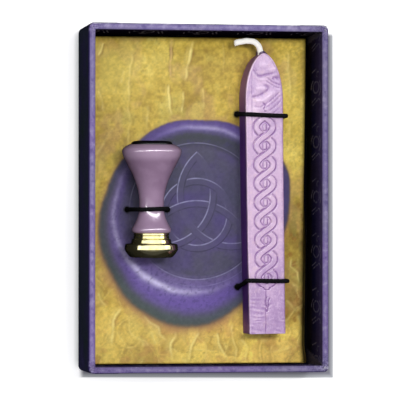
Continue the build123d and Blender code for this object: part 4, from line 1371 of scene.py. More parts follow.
def wax_relief(u, v):
    """Cast relief on the top face: (height in mm, how deep in a groove, how high on a band)."""
    # a two-strand plait with a small bar in each loop, each outlined by a groove
    y0, pitch, loops = 14.7, 5.97, 9
    y1 = y0 + loops * pitch
    amp, half = 2.62, 0.84
    t = (v - y0) / pitch
    on = smooth(y0 - 0.95, y0 - 0.75, v) * (1 - smooth(y1 + 0.75, y1 + 0.95, v))
    tt = np.clip(t, 0, loops)
    phase = tt * math.pi
    a = amp * np.sin(phase)
    slope = np.where((t > 0) & (t < loops), amp * math.pi / pitch * np.cos(phase), 0.0)
    inv = 1 / np.sqrt(1 + slope**2)
    beyond = np.clip(np.maximum(-t, t - loops), 0, None) * pitch
    d1 = np.hypot((u - a) * inv, beyond)
    d2 = np.hypot((u + a) * inv, beyond)
    first_on_top = (np.floor(t + 0.5) % 2) == 0

    def band(d):
        return 1 - smooth(half - 0.26, half + 0.10, d)

    def groove(d):
        return np.exp(-(((d - half - 0.16) / 0.26) ** 2))

    b1, b2, g1, g2 = band(d1), band(d2), groove(d1), groove(d2)
    inner = (t > 0.45) & (t < loops - 0.45)
    near_cross = smooth(0.62, 0.30, np.abs(t - np.round(t))) * inner
    hide2 = np.where(first_on_top, smooth(half + 0.85, half + 0.40, d1), 0) * near_cross
    hide1 = np.where(~first_on_top, smooth(half + 0.85, half + 0.40, d2), 0) * near_cross
    b1, g1 = b1 * (1 - hide1), g1 * (1 - hide1)
    b2, g2 = b2 * (1 - hide2), g2 * (1 - hide2)
    g1 = g1 * (1 - b2 * np.where(first_on_top, 0, 1) * near_cross)
    g2 = g2 * (1 - b1 * np.where(first_on_top, 1, 0) * near_cross)
    lift = np.maximum(b1, b2)
    cut = np.maximum(g1, g2) * (1 - np.minimum(1, lift * 0.9))
    # the bar in each loop
    mid = np.clip(np.floor(t), 0, loops - 1) + 0.5
    ey = y0 + mid * pitch
    tall = np.clip(np.abs(v - ey) - 0.62, 0, None)
    rho = np.hypot(u, tall)
    bar = 1 - smooth(0.26, 0.56, rho)
    bar_cut = np.exp(-(((rho - 0.68) / 0.22) ** 2))
    lift = np.maximum(lift, bar)
    cut = np.maximum(cut * (1 - bar), bar_cut * 0.85)
    lift, cut = lift * on, cut * on
    # small scroll beyond each end
    curl = marks(
        u, v,
        [
            (0.20, 1.1, [(-0.75, 7.7), (-0.45, 7.0), (0.15, 7.05), (0.35, 7.9), (-0.05, 8.7), (-0.45, 9.2), (-0.6, 10.2), (-0.3, 11.2), (0.3, 11.9), (0.85, 11.7)]),
            (0.20, 1.0, [(-0.5, 8.4), (0.1, 8.2), (0.65, 8.7), (0.35, 9.6), (0.55, 10.4), (0.9, 11.1), (0.8, 11.8)]),
            (0.30, 1.0, [(-0.35, 7.3), (-0.1, 7.5)]),
            (0.22, 0.9, [(0.9, 70.6), (0.2, 70.2), (-0.4, 71.1), (0.35, 72.0), (0.0, 73.0), (-0.9, 73.2)]),
        ],
    )
    cut = np.maximum(cut, curl)
    height = 0.26 * lift - 0.26 * cut
    return height, cut, lift


def wax_material():
    g = Graph("sealing_wax_pearl", roughness=0.42, coat_weight=0.06, coat_roughness=0.3, specular_ior_level=0.22)
    p = g.place()
    base = g.attribute("tint")
    top = g.attribute("top", colour=False)
    pearl = g.noise(g.stretch(p, 1.0, 0.5, 1.0), 1.1, 5.0, 0.6, 1.4)
    fine = g.noise(p, 6.0, 4.0, 0.65)
    lines = g.noise(g.stretch(p, 0.12, 1.5, 0.4), 3.0, 3.0, 0.6)
    blush = g.noise(p, 0.45, 3.0, 0.6)
    colour = g.mix(g.step(pearl, 0.44, 0.70, 0.0, 0.34) * top, base, lc(236, 208, 234))
    colour = g.mix(g.step(pearl, 0.48, 0.30, 0.0, 0.26) * top, colour, lc(186, 150, 194))
    colour = g.mix(g.step(lines, 0.55, 0.70, 0.0, 0.30) * top, colour, lc(172, 132, 184))
    colour = g.mix(g.step(blush, 0.52, 0.72, 0.0, 0.30) * top, colour, lc(232, 200, 208))
    colour = g.scale(colour, (fine - 0.5) * 0.30 + 0.96)
    bump = g.bump(lines * 0.6 + fine * 0.4, 0.25, 0.03)
    return g.set(colour=colour, roughness=g.step(pearl, 0.3, 0.7, 0.36, 0.50), normal=bump)


def wax_stick():
    tail = WAX_L - 3.0 * np.linspace(1.0, 0.0, 40) ** 2
    rows_v = np.r_[np.array([0.0, 0.0, 0.06, 0.16]), np.linspace(0.30, WAX_L - 3.12, 690), tail]
    inset = np.r_[np.array([0.34, 0.18, 0.07, 0.02]), np.zeros(690 + len(tail))]
    nt, ns = 92, 7
    prof = []  # (kind, parameter)
    for k in range(ns):
        prof.append(("left", k / ns))
    for a in (10, 35, 60):
        prof.append(("fl", a))
    for k in range(nt):
        prof.append(("top", -1 + 2 * k / (nt - 1)))
    for a in (60, 35, 10):
        prof.append(("fr", a))
    for k in range(ns):
        prof.append(("right", 1 - k / ns))
    for k in range(1, 8):
        prof.append(("bottom", 1 - 2 * k / 8))
    nr, nc = len(rows_v), len(prof)
    V = rows_v[:, None] * np.ones((1, nc))
    U = np.zeros((nr, nc))
    Z = np.zeros((nr, nc))
    top_flag = np.zeros((nr, nc))
    w = np.maximum(wax_half_width(rows_v) - inset, 0.05)
    f = np.minimum(0.30, w * 0.35)
    for c, (kind, t) in enumerate(prof):
        if kind == "left":
            U[:, c], Z[:, c] = -w - 0.10 * (1 - t) * (w > 1), 0.25 + (WAX_T - f - 0.25) * t
            if t == 0:
                U[:, c], Z[:, c] = -w - 0.02, 0.0
        elif kind == "right":
            U[:, c], Z[:, c] = w + 0.10 * (1 - t) * (w > 1), 0.25 + (WAX_T - f - 0.25) * t
        elif kind == "fl":
            q = math.radians(t)
            U[:, c], Z[:, c] = -w + f * (1 - math.cos(q)), WAX_T - f * (1 - math.sin(q))
        elif kind == "fr":
            q = math.radians(t)
            U[:, c], Z[:, c] = w - f * (1 - math.cos(q)), WAX_T - f * (1 - math.sin(q))
        elif kind == "top":
            U[:, c], Z[:, c] = (w - f) * t, WAX_T
            top_flag[:, c] = 1.0
        else:
            U[:, c], Z[:, c] = w * t, 0.0
        if kind in ("fl", "fr"):
            top_flag[:, c] = 0.75
    Z[[0, -1]] = np.clip(Z[[0, -1]], 0.2, WAX_T - 0.22)
    on_top = top_flag == 1.0
    height, cut, lift = wax_relief(U, V)
    # flow marks left by the pour, bold near the point, fine across the foot
    swirl_dark = marks(
        U, V,
        [
            (0.42, 0.85, [(-3.8, 84.4), (-2.9, 82.4), (-1.6, 81.5), (0.3, 82.0), (2.2, 82.4), (4.4, 82.9)]),
            (0.30, 0.60, [(-3.2, 86.0), (-3.4, 84.0), (-2.2, 82.9)]),
            (0.55, 1.00, [(2.4, 80.7), (3.3, 81.1), (4.3, 81.0), (5.2, 80.5)]),
            (0.26, 0.80, [(0.6, 81.4), (2.2, 80.0), (3.6, 79.3), (5.4, 78.6)]),
            (0.24, 0.60, [(0.2, 80.4), (1.6, 79.3), (3.2, 78.4), (5.4, 77.5)]),
            (0.50, 0.80, [(-4.6, 74.9), (-2.3, 75.1), (-0.4, 76.1), (1.5, 77.4), (0.9, 78.5), (-0.9, 79.2)]),
            (0.22, 0.60, [(0.0, 72.6), (2.1, 73.9), (3.6, 75.2), (5.2, 77.0)]),
            (0.22, 0.60, [(0.6, 71.6), (2.5, 72.9), (4.0, 74.2), (5.4, 75.8)]),
            (0.22, 0.55, [(1.2, 70.5), (3.0, 71.6), (4.4, 72.9), (5.5, 74.2)]),
            (0.22, 0.50, [(2.2, 69.4), (3.8, 70.5), (5.5, 72.2)]),
            (0.30, 0.50, [(-3.6, 72.2), (-2.0, 71.6), (-0.4, 72.0), (0.8, 73.4)]),
            (0.17, 0.62, [(-4.05, 84.6), (-4.1, 80.0), (-4.0, 74.0), (-4.1, 68.0), (-4.0, 60.0)]),
            (0.24, 0.45, [(-1.8, 69.5), (-0.6, 68.9), (0.2, 69.8)]),
            (0.40, 0.45, [(3.2, 86.6), (4.1, 84.9), (4.6, 83.2)]),
        ],
    )
    swirl_light = marks(
        U, V,
        [
            (0.80, 0.75, [(-1.9, 85.4), (-0.4, 85.2), (1.2, 84.6)]),
            (0.70, 0.80, [(-2.9, 77.4), (-1.5, 77.9), (-0.4, 77.3), (0.3, 77.9)]),
            (0.55, 0.90, [(-3.2, 73.6), (-1.0, 73.6), (1.0, 74.6), (2.8, 76.5), (3.4, 77.4)]),
            (0.45, 0.70, [(-3.4, 83.0), (-2.4, 81.0), (-1.0, 80.3), (0.6, 80.6)]),
            (0.35, 0.60, [(1.2, 83.4), (2.8, 83.9), (4.2, 84.0)]),
            (0.90, 0.60, [(-4.9, 71.0), (-3.0, 70.2), (-1.6, 68.6), (-2.2, 66.0)]),
            (0.40, 0.50, [(-0.6, 70.6), (1.2, 71.2)]),
        ],
    )
    drift = fbm(U / 2.6 + 3, V / 3.4, 0, 101, 4)
    bow = np.where(U < -0.5, 0.30 * (U + 0.5), -0.14 * (U + 0.5)) + 0.05 * np.abs(U + 0.5) ** 1.6
    wander = 1.5 * fbm(U / 4.5, V / 3.0, 1, 109, 3)
    ripple = np.sin((V + bow + 0.55 * wander) * 2 * math.pi / 1.35 + 1.2 * wander)
    ripple = np.sign(ripple) * np.abs(ripple) ** 1.4
    low = 1 - smooth(8.0, 15.0, V)
    ripple = ripple * (0.12 + 0.88 * smooth(-0.15, 0.45, 1.5 * fbm(U / 3.0, V / 2.2, 3, 110, 3) + 0.5 * smooth(3.5, 0.5, V) * (U < -0.5))) * low
    near_tip = smooth(67, 74, V)
    surface = height - 0.22 * swirl_dark + 0.14 * swirl_light + 0.05 * drift * (0.6 + near_tip) + 0.035 * ripple
    # seam of the mould along the middle, plain to see at the lower end
    seam_u = U + 0.58 - 0.018 * V - 0.06 * noise(V / 2.5, 0, 0, 111)
    seam = np.exp(-((seam_u / 0.17) ** 2)) * np.maximum(1 - smooth(12.0, 20.0, V), 0.35 * (1 - smooth(70, 74, V)) * (0.4 + 0.6 * noise(V / 1.7, 3, 0, 112)))
    seam = seam * (1 - 0.9 * lift)
    surface = surface - 0.18 * seam
    # a low border just inside the edge
    rim = w[:, None] - np.abs(U)
    surface = surface + 0.06 * np.exp(-((rim - 0.45) / 0.22) ** 2)
    ends = smooth(0.0, 0.8, V) * smooth(0.25, 0.9, w)[:, None]
    Z = Z + np.where(on_top, surface * ends, 0)
    side_wave = 0.06 * fbm(V / 6, Z / 6, 0, 104, 3) + 0.015 * fbm(V / 0.8, Z / 0.8, 0, 105, 2)
    lateral = (~on_top) & (Z > 0.1)
    U = U + np.where(lateral, np.sign(U) * side_wave * smooth(0.3, 2.0, w)[:, None], 0)
    # colour: pearl lilac on top; painted shade makes it deeper in the grooves and dark violet on the smooth sides
    side_of = np.clip(U / 6.0, -1, 1)
    tone = 0.52 + 0.26 * fbm(U / 4.2, V / 6.5, 0, 106, 4) + 0.12 * fbm(U / 1.3, V / 1.3, 0, 113, 3)
    tone = tone - 0.20 * smooth(0.15, 0.6, side_of) * smooth(52, 62, V) * (1 - smooth(80, 86, V))
    tone = tone + 0.14 * smooth(0.0, -0.6, side_of) * smooth(52, 66, V) * (1 - smooth(70, 78, V)) - 0.10 * near_tip * smooth(70, 76, V)
    tone = tone - 0.26 * (1 - smooth(6, 30, V)) + 0.10 * swirl_light
    lilac = ramp(
        tone,
        (0.05, lin(172, 138, 186)), (0.28, lin(191, 158, 202)), (0.46, lin(211, 178, 213)), (0.60, lin(221, 189, 219)), (0.9, lin(240, 213, 236)),
    )
    lilac = toward(lilac, (238, 212, 238), 0.55 * swirl_light)
    lilac = lilac * np.array([0.925, 0.915, 0.94])
    lilac = toward(lilac, (128, 86, 152), 0.95 * swirl_dark)
    lilac = toward(lilac, (222, 194, 226), 0.60 * np.clip(ripple, 0, 1))
    lilac = toward(lilac, (146, 108, 168), 0.62 * np.clip(-ripple, 0, 1))
    # painted highlight on the relief's shoulders where they face the top left, painted shade where they face away
    dv = np.gradient(height, rows_v + np.arange(nr) * 1e-6, axis=0)
    du = np.zeros_like(height)
    cols = np.where(top_flag[5] == 1.0)[0]
    du[:, cols] = np.gradient(height[:, cols], axis=1) / np.maximum(np.gradient(U[:, cols], axis=1), 1e-3)
    facing = 0.60 * du - 0.80 * dv
    lilac = toward(lilac, (246, 224, 248), 0.75 * smooth(0.12, 0.75, facing) * ends)
    lilac = toward(lilac, (128, 84, 148), 0.70 * smooth(0.12, 0.80, -facing) * ends)
    # painted shade: darker in the grooves and along the seam
    lilac = toward(lilac, (112, 62, 138), np.clip(cut * 0.80, 0, 0.8))
    lilac = toward(lilac, (118, 72, 144), seam * 0.80)
    # thin dark line inside the edge; painted highlight along the left edge, brightest on the fillet round the point;
    # painted shade in a plum line down the right side, with a painted highlight near the point
    inner_line = np.exp(-(((rim - 0.62) / 0.16) ** 2)) * (0.5 + 0.5 * near_tip)
    lilac = toward(lilac, (160, 122, 176), 0.55 * inner_line)
    point = smooth(74, 80, V)
    edge = np.exp(-((np.clip(rim, 0, None) / 0.42) ** 2))
    left_edge_highlight = edge * (side_of < 0)
    lilac = toward(lilac, (255, 226, 250), left_edge_highlight * (0.30 + 0.70 * point))
    right_edge_light_and_shade = edge * (side_of >= 0)
    lilac = toward(lilac, (236, 206, 222), right_edge_light_and_shade * 0.55 * smooth(84, 87.5, V))
    lilac = toward(lilac, (140, 98, 146), right_edge_light_and_shade * 0.70 * (1 - smooth(83, 87, V)))
    side_tone = 0.5 + 0.4 * fbm(V / 9, Z / 4, 0, 107, 3)
    side_shade_violet = ramp(side_tone, (0.1, lin(76, 24, 126)), (0.5, lin(94, 32, 146)), (0.9, lin(114, 48, 160)))
    # painted shade on the flank lifts to a dusty pink towards both ends
    side_shade_violet = mix(side_shade_violet, lin(190, 132, 176) * np.ones_like(side_shade_violet), 0.80 * smooth(9.0, 1.0, V) * (0.55 + 0.45 * smooth(-0.3, 0.3, fbm(V / 2, Z / 3, 2, 118, 2))))
    side_shade_violet = mix(side_shade_violet, lin(206, 150, 196) * np.ones_like(side_shade_violet), 0.85 * smooth(64.0, 80.0, V))
    tint = mix(lilac, side_shade_violet, np.where(on_top, 0, np.where(top_flag > 0, 0.10, 0.94)))
    # painted shade: both end rows dark violet
    tint[0] = tint[-1] = lin(98, 46, 132)

    # the nub that runs down from the point to the wick
    nv, nq = 22, 21
    rows_n = np.linspace(86.9, 90.5, nv)
    tn = (rows_n - 86.9) / 3.6
    wn = 1.12 * np.sqrt(np.clip(1 - np.clip((tn - 0.35) / 0.72, 0, 1) ** 2.2, 0.02, 1))
    zt = 11.0 - 5.4 * smooth(0.42, 1.0, tn) - 0.25 * tn
    NU, NV, NZ = np.zeros((nv, nq)), rows_n[:, None] * np.ones((1, nq)), np.zeros((nv, nq))
    for c in range(nq):
        if c < 4:
            NU[:, c], NZ[:, c] = -wn, zt * (0.12 + 0.22 * c)
        elif c > nq - 5:
            NU[:, c], NZ[:, c] = wn, zt * (0.12 + 0.22 * (nq - 1 - c))
        else:
            t = -1 + 2 * (c - 4) / (nq - 9)
            NU[:, c], NZ[:, c] = wn * t, zt - 0.16 * zt * np.abs(t) ** 3
    NU = NU + 0.42 + 0.05 * fbm(NV / 0.7, NZ / 0.9, 0, 114, 2)
    NZ = NZ + 0.08 * fbm(NU / 0.6, NV / 0.6, 0, 115, 2)
    nub_tone = 0.5 + 0.5 * fbm(NU / 0.8, NV / 0.8, NZ / 2, 116, 3)
    nub_col = ramp(nub_tone, (0.2, lin(84, 48, 118)), (0.55, lin(118, 78, 146)), (0.85, lin(176, 140, 190)))

    def place(u, v, z):
        bend = 0.12 * np.sin(v / 90.0 * math.pi)      # the stick is a little out of true
        dx, dy = math.sin(WAX_LEAN), math.cos(WAX_LEAN)
        uu = u - bend
        return np.stack([WAX_END[0] + uu * dy - v * dx, WAX_END[1] + uu * dx + v * dy, CARD_TOP + 0.12 + z * 0.985], -1).reshape(-1, 3)

    verts = np.concatenate([place(U, V, Z), place(NU, NV, NZ)])
    faces = [tuple(f) for f in grid_faces(nr, nc, wrap_v=True)]
    faces.append(tuple(range(nc)))
    faces.append(tuple(reversed(range((nr - 1) * nc, nr * nc))))
    faces += [tuple(f) for f in grid_faces(nv, nq, start=nr * nc, flip=False)]
    end = nr * nc + (nv - 1) * nq
    faces.append(tuple(reversed(range(end, end + nq))))
    tint = np.concatenate([tint.reshape(-1, 3), nub_col.reshape(-1, 3)])
    flag = np.concatenate([top_flag.ravel(), np.full(nv * nq, 0.3)])
    return make(
        "wax_stick_cast", verts, faces, "wax", wax_material(), replaces=("wax_stick",),
        colours={"tint": tint}, floats={"top": flag}, sharp=60,
    )


wax = wax_stick()


# =================================================================================================
# wick
# =================================================================================================
def wick():
    route = spline_points(
        [
            (19.3, 43.0, 11.2), (19.1, 46.2, 11.5), (18.72, 47.9, 12.0), (18.05, 49.10, 12.4), (17.0, 50.05, 12.7),
            (14.72, 50.45, 12.8), (12.46, 50.12, 12.8), (10.5, 49.65, 12.7),
        ],
        resolution=32,
    )
    pts, s = even(route, 0.10)
    length = s[-1]

    def plait(a, d):
        # flat three-strand plait: strands cross in a herring-bone on the broad faces
        k = 2 * math.pi / 2.4
        one = np.abs(np.sin(1.5 * a + k * d * 0.5))
        two = np.abs(np.sin(1.5 * a - k * d * 0.5))
        rib = np.maximum(one, two) ** 1.5
        hair = 0.02 * noise(a * 6, d * 3.0, 0, 121)
        taper = smooth(0, 0.5, length - d) * 0.10 - 0.10
        return 0.09 * rib - 0.07 + hair + taper

    radius = 0.93 + 0.04 * smooth(2.0, 0.0, length - s)
    parts = [tube(pts, radius, 30, wide=1.0, high=0.92, relief=plait, up=(0, 0, 1))]
    # loose ends of the yarn at the cut
    rng = np.random.default_rng(7)
    tan, nn, bb = frames(pts)
    for k in range(18):
        a = rng.uniform(0, 2 * math.pi)
        r0 = rng.uniform(0.1, 0.78)
        start = pts[-3] + nn[-1] * r0 * math.cos(a) + bb[-1] * r0 * 0.9 * math.sin(a)
        out = tan[-1] * rng.uniform(0.25, 0.6) + nn[-1] * rng.normal(0, 0.14) + bb[-1] * rng.normal(0, 0.12)
        line = np.array([start, start + out * 0.5, start + out + np.array([0, 0, -0.05])])
        parts.append(tube(line, [0.09, 0.08, 0.04], 6))
    verts, faces = join_parts(*parts)
    # painted light: a faint white emission makes the wick glow
    g = Graph("cotton_wick", roughness=0.9, sheen_weight=0.4, sheen_roughness=0.6, specular_ior_level=0.2, emission_strength=0.16)
    p = g.place()
    strand = g.noise(g.stretch(p, 1.0, 1.0, 1.0), 6.0, 4.0, 0.6)
    soft = g.noise(p, 0.8, 3.0)
    colour = g.ramp(strand, (0.25, lc(236, 230, 218)), (0.5, lc(252, 250, 242)), (0.75, lc(255, 255, 250)))
    colour = g.mix(g.step(soft, 0.56, 0.76, 0.0, 0.25), colour, lc(236, 226, 234))
    g.shader.inputs["Emission Color"].default_value = (1.0, 0.98, 0.93, 1.0)
    mat = g.set(colour=colour, normal=g.bump(strand, 0.4, 0.06))
    return make("wick_plaited", verts, faces, "wax", mat, replaces=("wick",))


wick_piece = wick()


# =================================================================================================
# elastic cords
# =================================================================================================
def cord_material():
    g = Graph("elastic_black", roughness=0.8, specular_ior_level=0.05)
    p = g.place()
    thread = g.noise(p, 9.0, 3.0, 0.6)
    dust = g.noise(p, 1.3, 4.0, 0.6)
    colour = g.ramp(thread, (0.3, lc(3, 3, 5)), (0.6, lc(9, 8, 11)), (0.85, lc(24, 22, 28)))
    colour = g.mix(g.step(dust, 0.62, 0.82, 0.0, 0.16), colour, lc(50, 46, 54))
    return g.set(colour=colour, normal=g.bump(thread, 0.4, 0.04))


elastic_black = cord_material()


def braid(a, d):
    """Round braid of eight carriers: ribs that run both ways round the cord."""
    k = 2 * math.pi / 2.4
    one = np.abs(np.cos(2 * a + k * d))
    two = np.abs(np.cos(2 * a - k * d))
    over = np.where(np.sin(2 * a) * np.sin(k * d) > 0, one, two)
    return 0.055 * over - 0.035


def overhand(centre, seed):
    """A small pulled-tight knot, as one closed tube."""
    t = np.linspace(0, 2 * math.pi, 90)
    r = 0.62
    x = r * (np.sin(t) + 1.35 * np.sin(2 * t)) * 0.52
    y = r * (np.cos(t) - 1.35 * np.cos(2 * t)) * 0.52
    z = -0.50 * np.sin(3 * t) * 0.9
    turn = seed * 1.3
    pts = np.stack(
        [centre[0] + x * math.cos(turn) - y * math.sin(turn), centre[1] + x * math.sin(turn) + y * math.cos(turn), centre[2] + z], -1
    )
    return tube(pts, 0.5, 14, relief=lambda a, d: 0.6 * braid(a, d))


def elastic(name, control, node, seed):
    route = spline_points(control, resolution=28)
    pts, s = even(route, 0.11)
    swell = 0.68 + 0.25 * (smooth(1.9, 1.0, s) + smooth(1.9, 1.0, s[-1] - s))
    verts, faces = tube(pts, swell, 20, relief=braid)
    ob = make(name, verts, faces, "insert", elastic_black, replaces=(node,))
    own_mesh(ob)
    parts = []
    for k, end in enumerate((control[0], control[-1])):
        parts.append(overhand((end[0], end[1], 3.86), seed + k))
        stub = np.array([(end[0], end[1], 4.4), (end[0], end[1], 5.2), (end[0], end[1], 5.9)])
        parts.append(tube(stub, 0.56, 16))
        tail = np.array([(end[0], end[1], 3.7), (end[0] + 0.9, end[1] + 0.5 * (k - 0.5), 3.3), (end[0] + 2.1, end[1] + 1.2 * (k - 0.5), 2.75), (end[0] + 2.9, end[1] + 1.5 * (k - 0.5), 2.68)])
        tail_pts, _ = even(spline_points(tail, resolution=10), 0.14)
        parts.append(tube(tail_pts, 0.5, 14, relief=braid))
    verts, faces = join_parts(*parts)
    make(name + "_knots", verts, faces, "insert", elastic_black)
    return ob


STAMP_X, STAMP_FACE_Y = -16.65, -18.45
TILT = math.asin((9.4 - 8.45) / (33.5 - 2.75))
FACE_Z = CARD_TOP + 0.15 + 8.45 - 2.75 * math.sin(TILT)
waist_z = FACE_Z + (-3.3 - STAMP_FACE_Y) / math.cos(TILT) * math.sin(TILT)
hug = 3.98 + 0.10 + 0.68
around = []
for a in range(-60, 61, 24):
    q = math.radians(a)
    r = hug / math.cos(math.radians(12))
    around.append((STAMP_X + r * math.sin(q), -3.35 + 0.12 * math.sin(q * 2), waist_z + r * math.cos(q)))
left, right = STAMP_HOLES
stamp_route = (
    [(left[0], left[1], 5.3), (left[0], left[1], 6.5), (left[0] + 0.15, left[1], 7.4), (left[0] + 1.0, left[1], 9.6)]
    + around
    + [(right[0] - 1.0, right[1], 9.6), (right[0] - 0.15, right[1], 7.4), (right[0], right[1], 6.5), (right[0], right[1], 5.3)]
)
elastic_1 = elastic("elastic_over_stamp", stamp_route, "elastic_stamp", 1)
for cord_piece in [o for o in bpy.data.objects if o.name.startswith("elastic_over_stamp")]:
    cord_piece.visible_glossy = False


def wax_cord(left, right, y_left, y_right, x_left, x_right):
    top = CARD_TOP + WAX_T + 0.12 + 0.72
    return [
        (left[0], left[1], 5.3), (left[0], left[1], 6.4), (left[0] - 0.02, left[1] - 0.1 * (left[1] - y_left), 7.4),
        (x_left - 0.78, y_left + 0.5 * (left[1] - y_left), 12.0),
        (x_left - 0.74, y_left + 0.06 * (left[1] - y_left), top - 1.1), (x_left - 0.55, y_left, top - 0.05),
        (x_left + 0.75, y_left, top + 0.02), (0.5 * (x_left + x_right), 0.5 * (y_left + y_right) - 0.06, top),
        (x_right - 0.75, y_right, top + 0.02), (x_right + 0.55, y_right, top - 0.05), (x_right + 0.74, y_right, top - 1.1),
        (x_right + 0.80, y_right + 0.4 * (right[1] - y_right), 12.0), (right[0] + 0.02, right[1], 7.4), (right[0], right[1], 6.4), (right[0], right[1], 5.3),
    ]


elastic_2 = elastic("elastic_over_wax_upper", wax_cord(*UPPER_HOLES, 26.75, 26.35, 13.3, 25.5), "elastic_wax_upper", 3)
elastic_3 = elastic("elastic_over_wax_lower", wax_cord(*LOWER_HOLES, -25.85, -26.0, 14.1, 25.9), "elastic_wax_lower", 5)

# =================================================================================================
# carried-over CAD pieces: finishes
# =================================================================================================
nodes = frame["nodes"]


def finish_node(name, material):
    mesh = nodes[name].data
    mesh.materials.clear()
    mesh.materials.append(material)


def lacquer():
    g = Graph("lacquer_mauve", roughness=0.15, coat_weight=0.25, coat_roughness=0.05, specular_ior_level=0.38)
    p = g.place()
    soft = g.noise(p, 0.16, 3.0, 0.5)
    peel = g.noise(p, 1.4, 2.0, 0.5)
    pit = g.noise(p, 5.0, 3.0, 0.6)
    y = g.parts(p)[1]
    colour = g.ramp(soft, (0.3, lc(131, 103, 131)), (0.5, lc(143, 116, 143)), (0.7, lc(154, 127, 154)))
    # painted light and sheen: the lacquer is made lighter towards the lower end, more on the foot, and in a band round
    # the top end
    colour = g.mix(g.step(y, 10.0, 0.0, 0.0, 0.34), colour, lc(180, 152, 180))
    colour = g.mix(g.step(y, -2.0, -6.0, 0.0, 0.24), colour, lc(184, 158, 186))
    colour = g.mix(g.step(y, 11.0, 13.6, 0.0, 0.55), colour, lc(190, 164, 190))
    colour = g.mix(g.step(pit, 0.6, 0.8, 0.0, 0.15), colour, lc(128, 96, 130))
    return g.set(colour=colour, roughness=g.step(peel, 0.3, 0.7, 0.12, 0.17), normal=g.bump(peel, 0.0015, 0.05))


def polished_brass():
    g = Graph("brass_turned", metallic=0.97, roughness=0.10)
    p = g.place()
    x, y, z = g.parts(p)
    along = (y - STAMP_FACE_Y) * math.cos(TILT) + (z - FACE_Z) * math.sin(TILT)
    lathe = g.noise(g.vector(along * 1.0, 0.0, 0.0), 9.0, 4.0, 0.7)
    tarnish = g.noise(p, 0.5, 4.0, 0.6)
    cut = g.attribute("cut", colour=False)
    colour = g.ramp(tarnish, (0.3, lc(238, 224, 156)), (0.55, lc(249, 240, 184)), (0.8, lc(253, 248, 206)))
    colour = g.mix(g.step(lathe, 0.5, 0.8, 0.0, 0.20), colour, lc(214, 188, 104))
    colour = g.mix(cut * 0.75, colour, lc(96, 74, 34))
    rough = g.step(tarnish, 0.3, 0.7, 0.07, 0.15)
    return g.set(colour=colour, roughness=rough, normal=g.bump(lathe, 0.08, 0.02))


def on_stamp_axis(along, radius, angle):
    """Points at a distance along the stamp's axis from the die face, a radius and an angle round it."""
    up = radius * np.sin(angle)
    return np.stack(
        [
            STAMP_X + radius * np.cos(angle), STAMP_FACE_Y + along * math.cos(TILT) - up * math.sin(TILT),
            FACE_Z + along * math.sin(TILT) + up * math.cos(TILT),
        ], -1,
    )


def flowing(points, step=0.13, soften=2):
    """A smooth run through (along, radius) points."""
    pts = np.array(points, float)
    pad = np.vstack([2 * pts[0] - pts[1], pts, 2 * pts[-1] - pts[-2]])
    out = []
    for k in range(1, len(pad) - 2):
        a, b, c, d = pad[k - 1 : k + 3]
        m1, m2 = (c - a) / max(np.linalg.norm(c - a), 1e-6), (d - b) / max(np.linalg.norm(d - b), 1e-6)
        size = np.linalg.norm(c - b)
        pieces = max(2, int(size / step))
        t = np.linspace(0, 1, pieces, endpoint=False)[:, None]
        out.append((2 * t**3 - 3 * t**2 + 1) * b + (t**3 - 2 * t**2 + t) * size * m1 + (3 * t**2 - 2 * t**3) * c + (t**3 - t**2) * size * m2)
    out = np.vstack([np.concatenate(out), pts[-1:]])
    for _ in range(soften):
        out[1:-1] = 0.25 * out[:-2] + 0.5 * out[1:-1] + 0.25 * out[2:]
    return [tuple(q) for q in out]


def turned(name, profile, slot, material, node, around=144, sharp=40):
    angle = np.linspace(0, 2 * math.pi, around, endpoint=False)
    along, radius = (np.array([q[k] for q in profile])[:, None] * np.ones((1, around)) for k in (0, 1))
    faces = [tuple(f) for f in grid_faces(len(profile), around, wrap_v=True, flip=True)]
    faces.append(tuple(range(around)))
    faces.append(tuple(reversed(range((len(profile) - 1) * around, len(profile) * around))))
    return make(name, on_stamp_axis(along, radius, angle[None, :]), faces, "stamp", material, replaces=(node,), sharp=sharp)


def turned_handle():
    swell = [
        (7.72, 5.66), (7.82, 5.88), (8.1, 6.12), (8.6, 6.22), (9.2, 6.08), (9.9, 5.71), (10.6, 5.31), (11.5, 4.86), (12.6, 4.46), (13.7, 4.15),
        (14.8, 3.99), (16.4, 3.91), (18.1, 3.95), (19.8, 4.14), (21.8, 4.57), (24.4, 5.4), (26.9, 6.53), (29.3, 7.78), (30.7, 8.5),
        (31.6, 8.91), (32.5, 9.23), (33.3, 9.39), (33.75, 9.33), (34.2, 9.13), (34.8, 8.45), (35.25, 7.75), (35.5, 7.25), (35.6, 6.95),
    ]
    profile = [(17.2, 0.01), (17.2, 2.02), (12.0, 2.02), (7.76, 2.02), (7.70, 2.10), (7.70, 4.0), (7.70, 5.58)] + flowing(swell)
    profile += [(35.60, 6.68), (35.52, 6.56), (34.90, 6.55), (34.80, 6.50), (34.80, 3.0), (34.80, 0.01)]
    return turned("handle_turned", profile, "lacquered_handle", lacquer(), "handle")


def turned_cap():
    dome = [(35.88, 6.49), (36.02, 6.44), (36.30, 6.20), (36.56, 5.72), (36.70, 4.80), (36.75, 3.60), (36.79, 1.80), (36.80, 0.01)]
    profile = [(34.82, 0.01), (34.82, 3.0), (34.82, 6.40), (34.90, 6.49), (35.5, 6.50)] + flowing(dome, 0.2, 1)
    return turned("end_cap_domed", profile, "black_cap", gloss_black(), "handle_end_cap", 96)


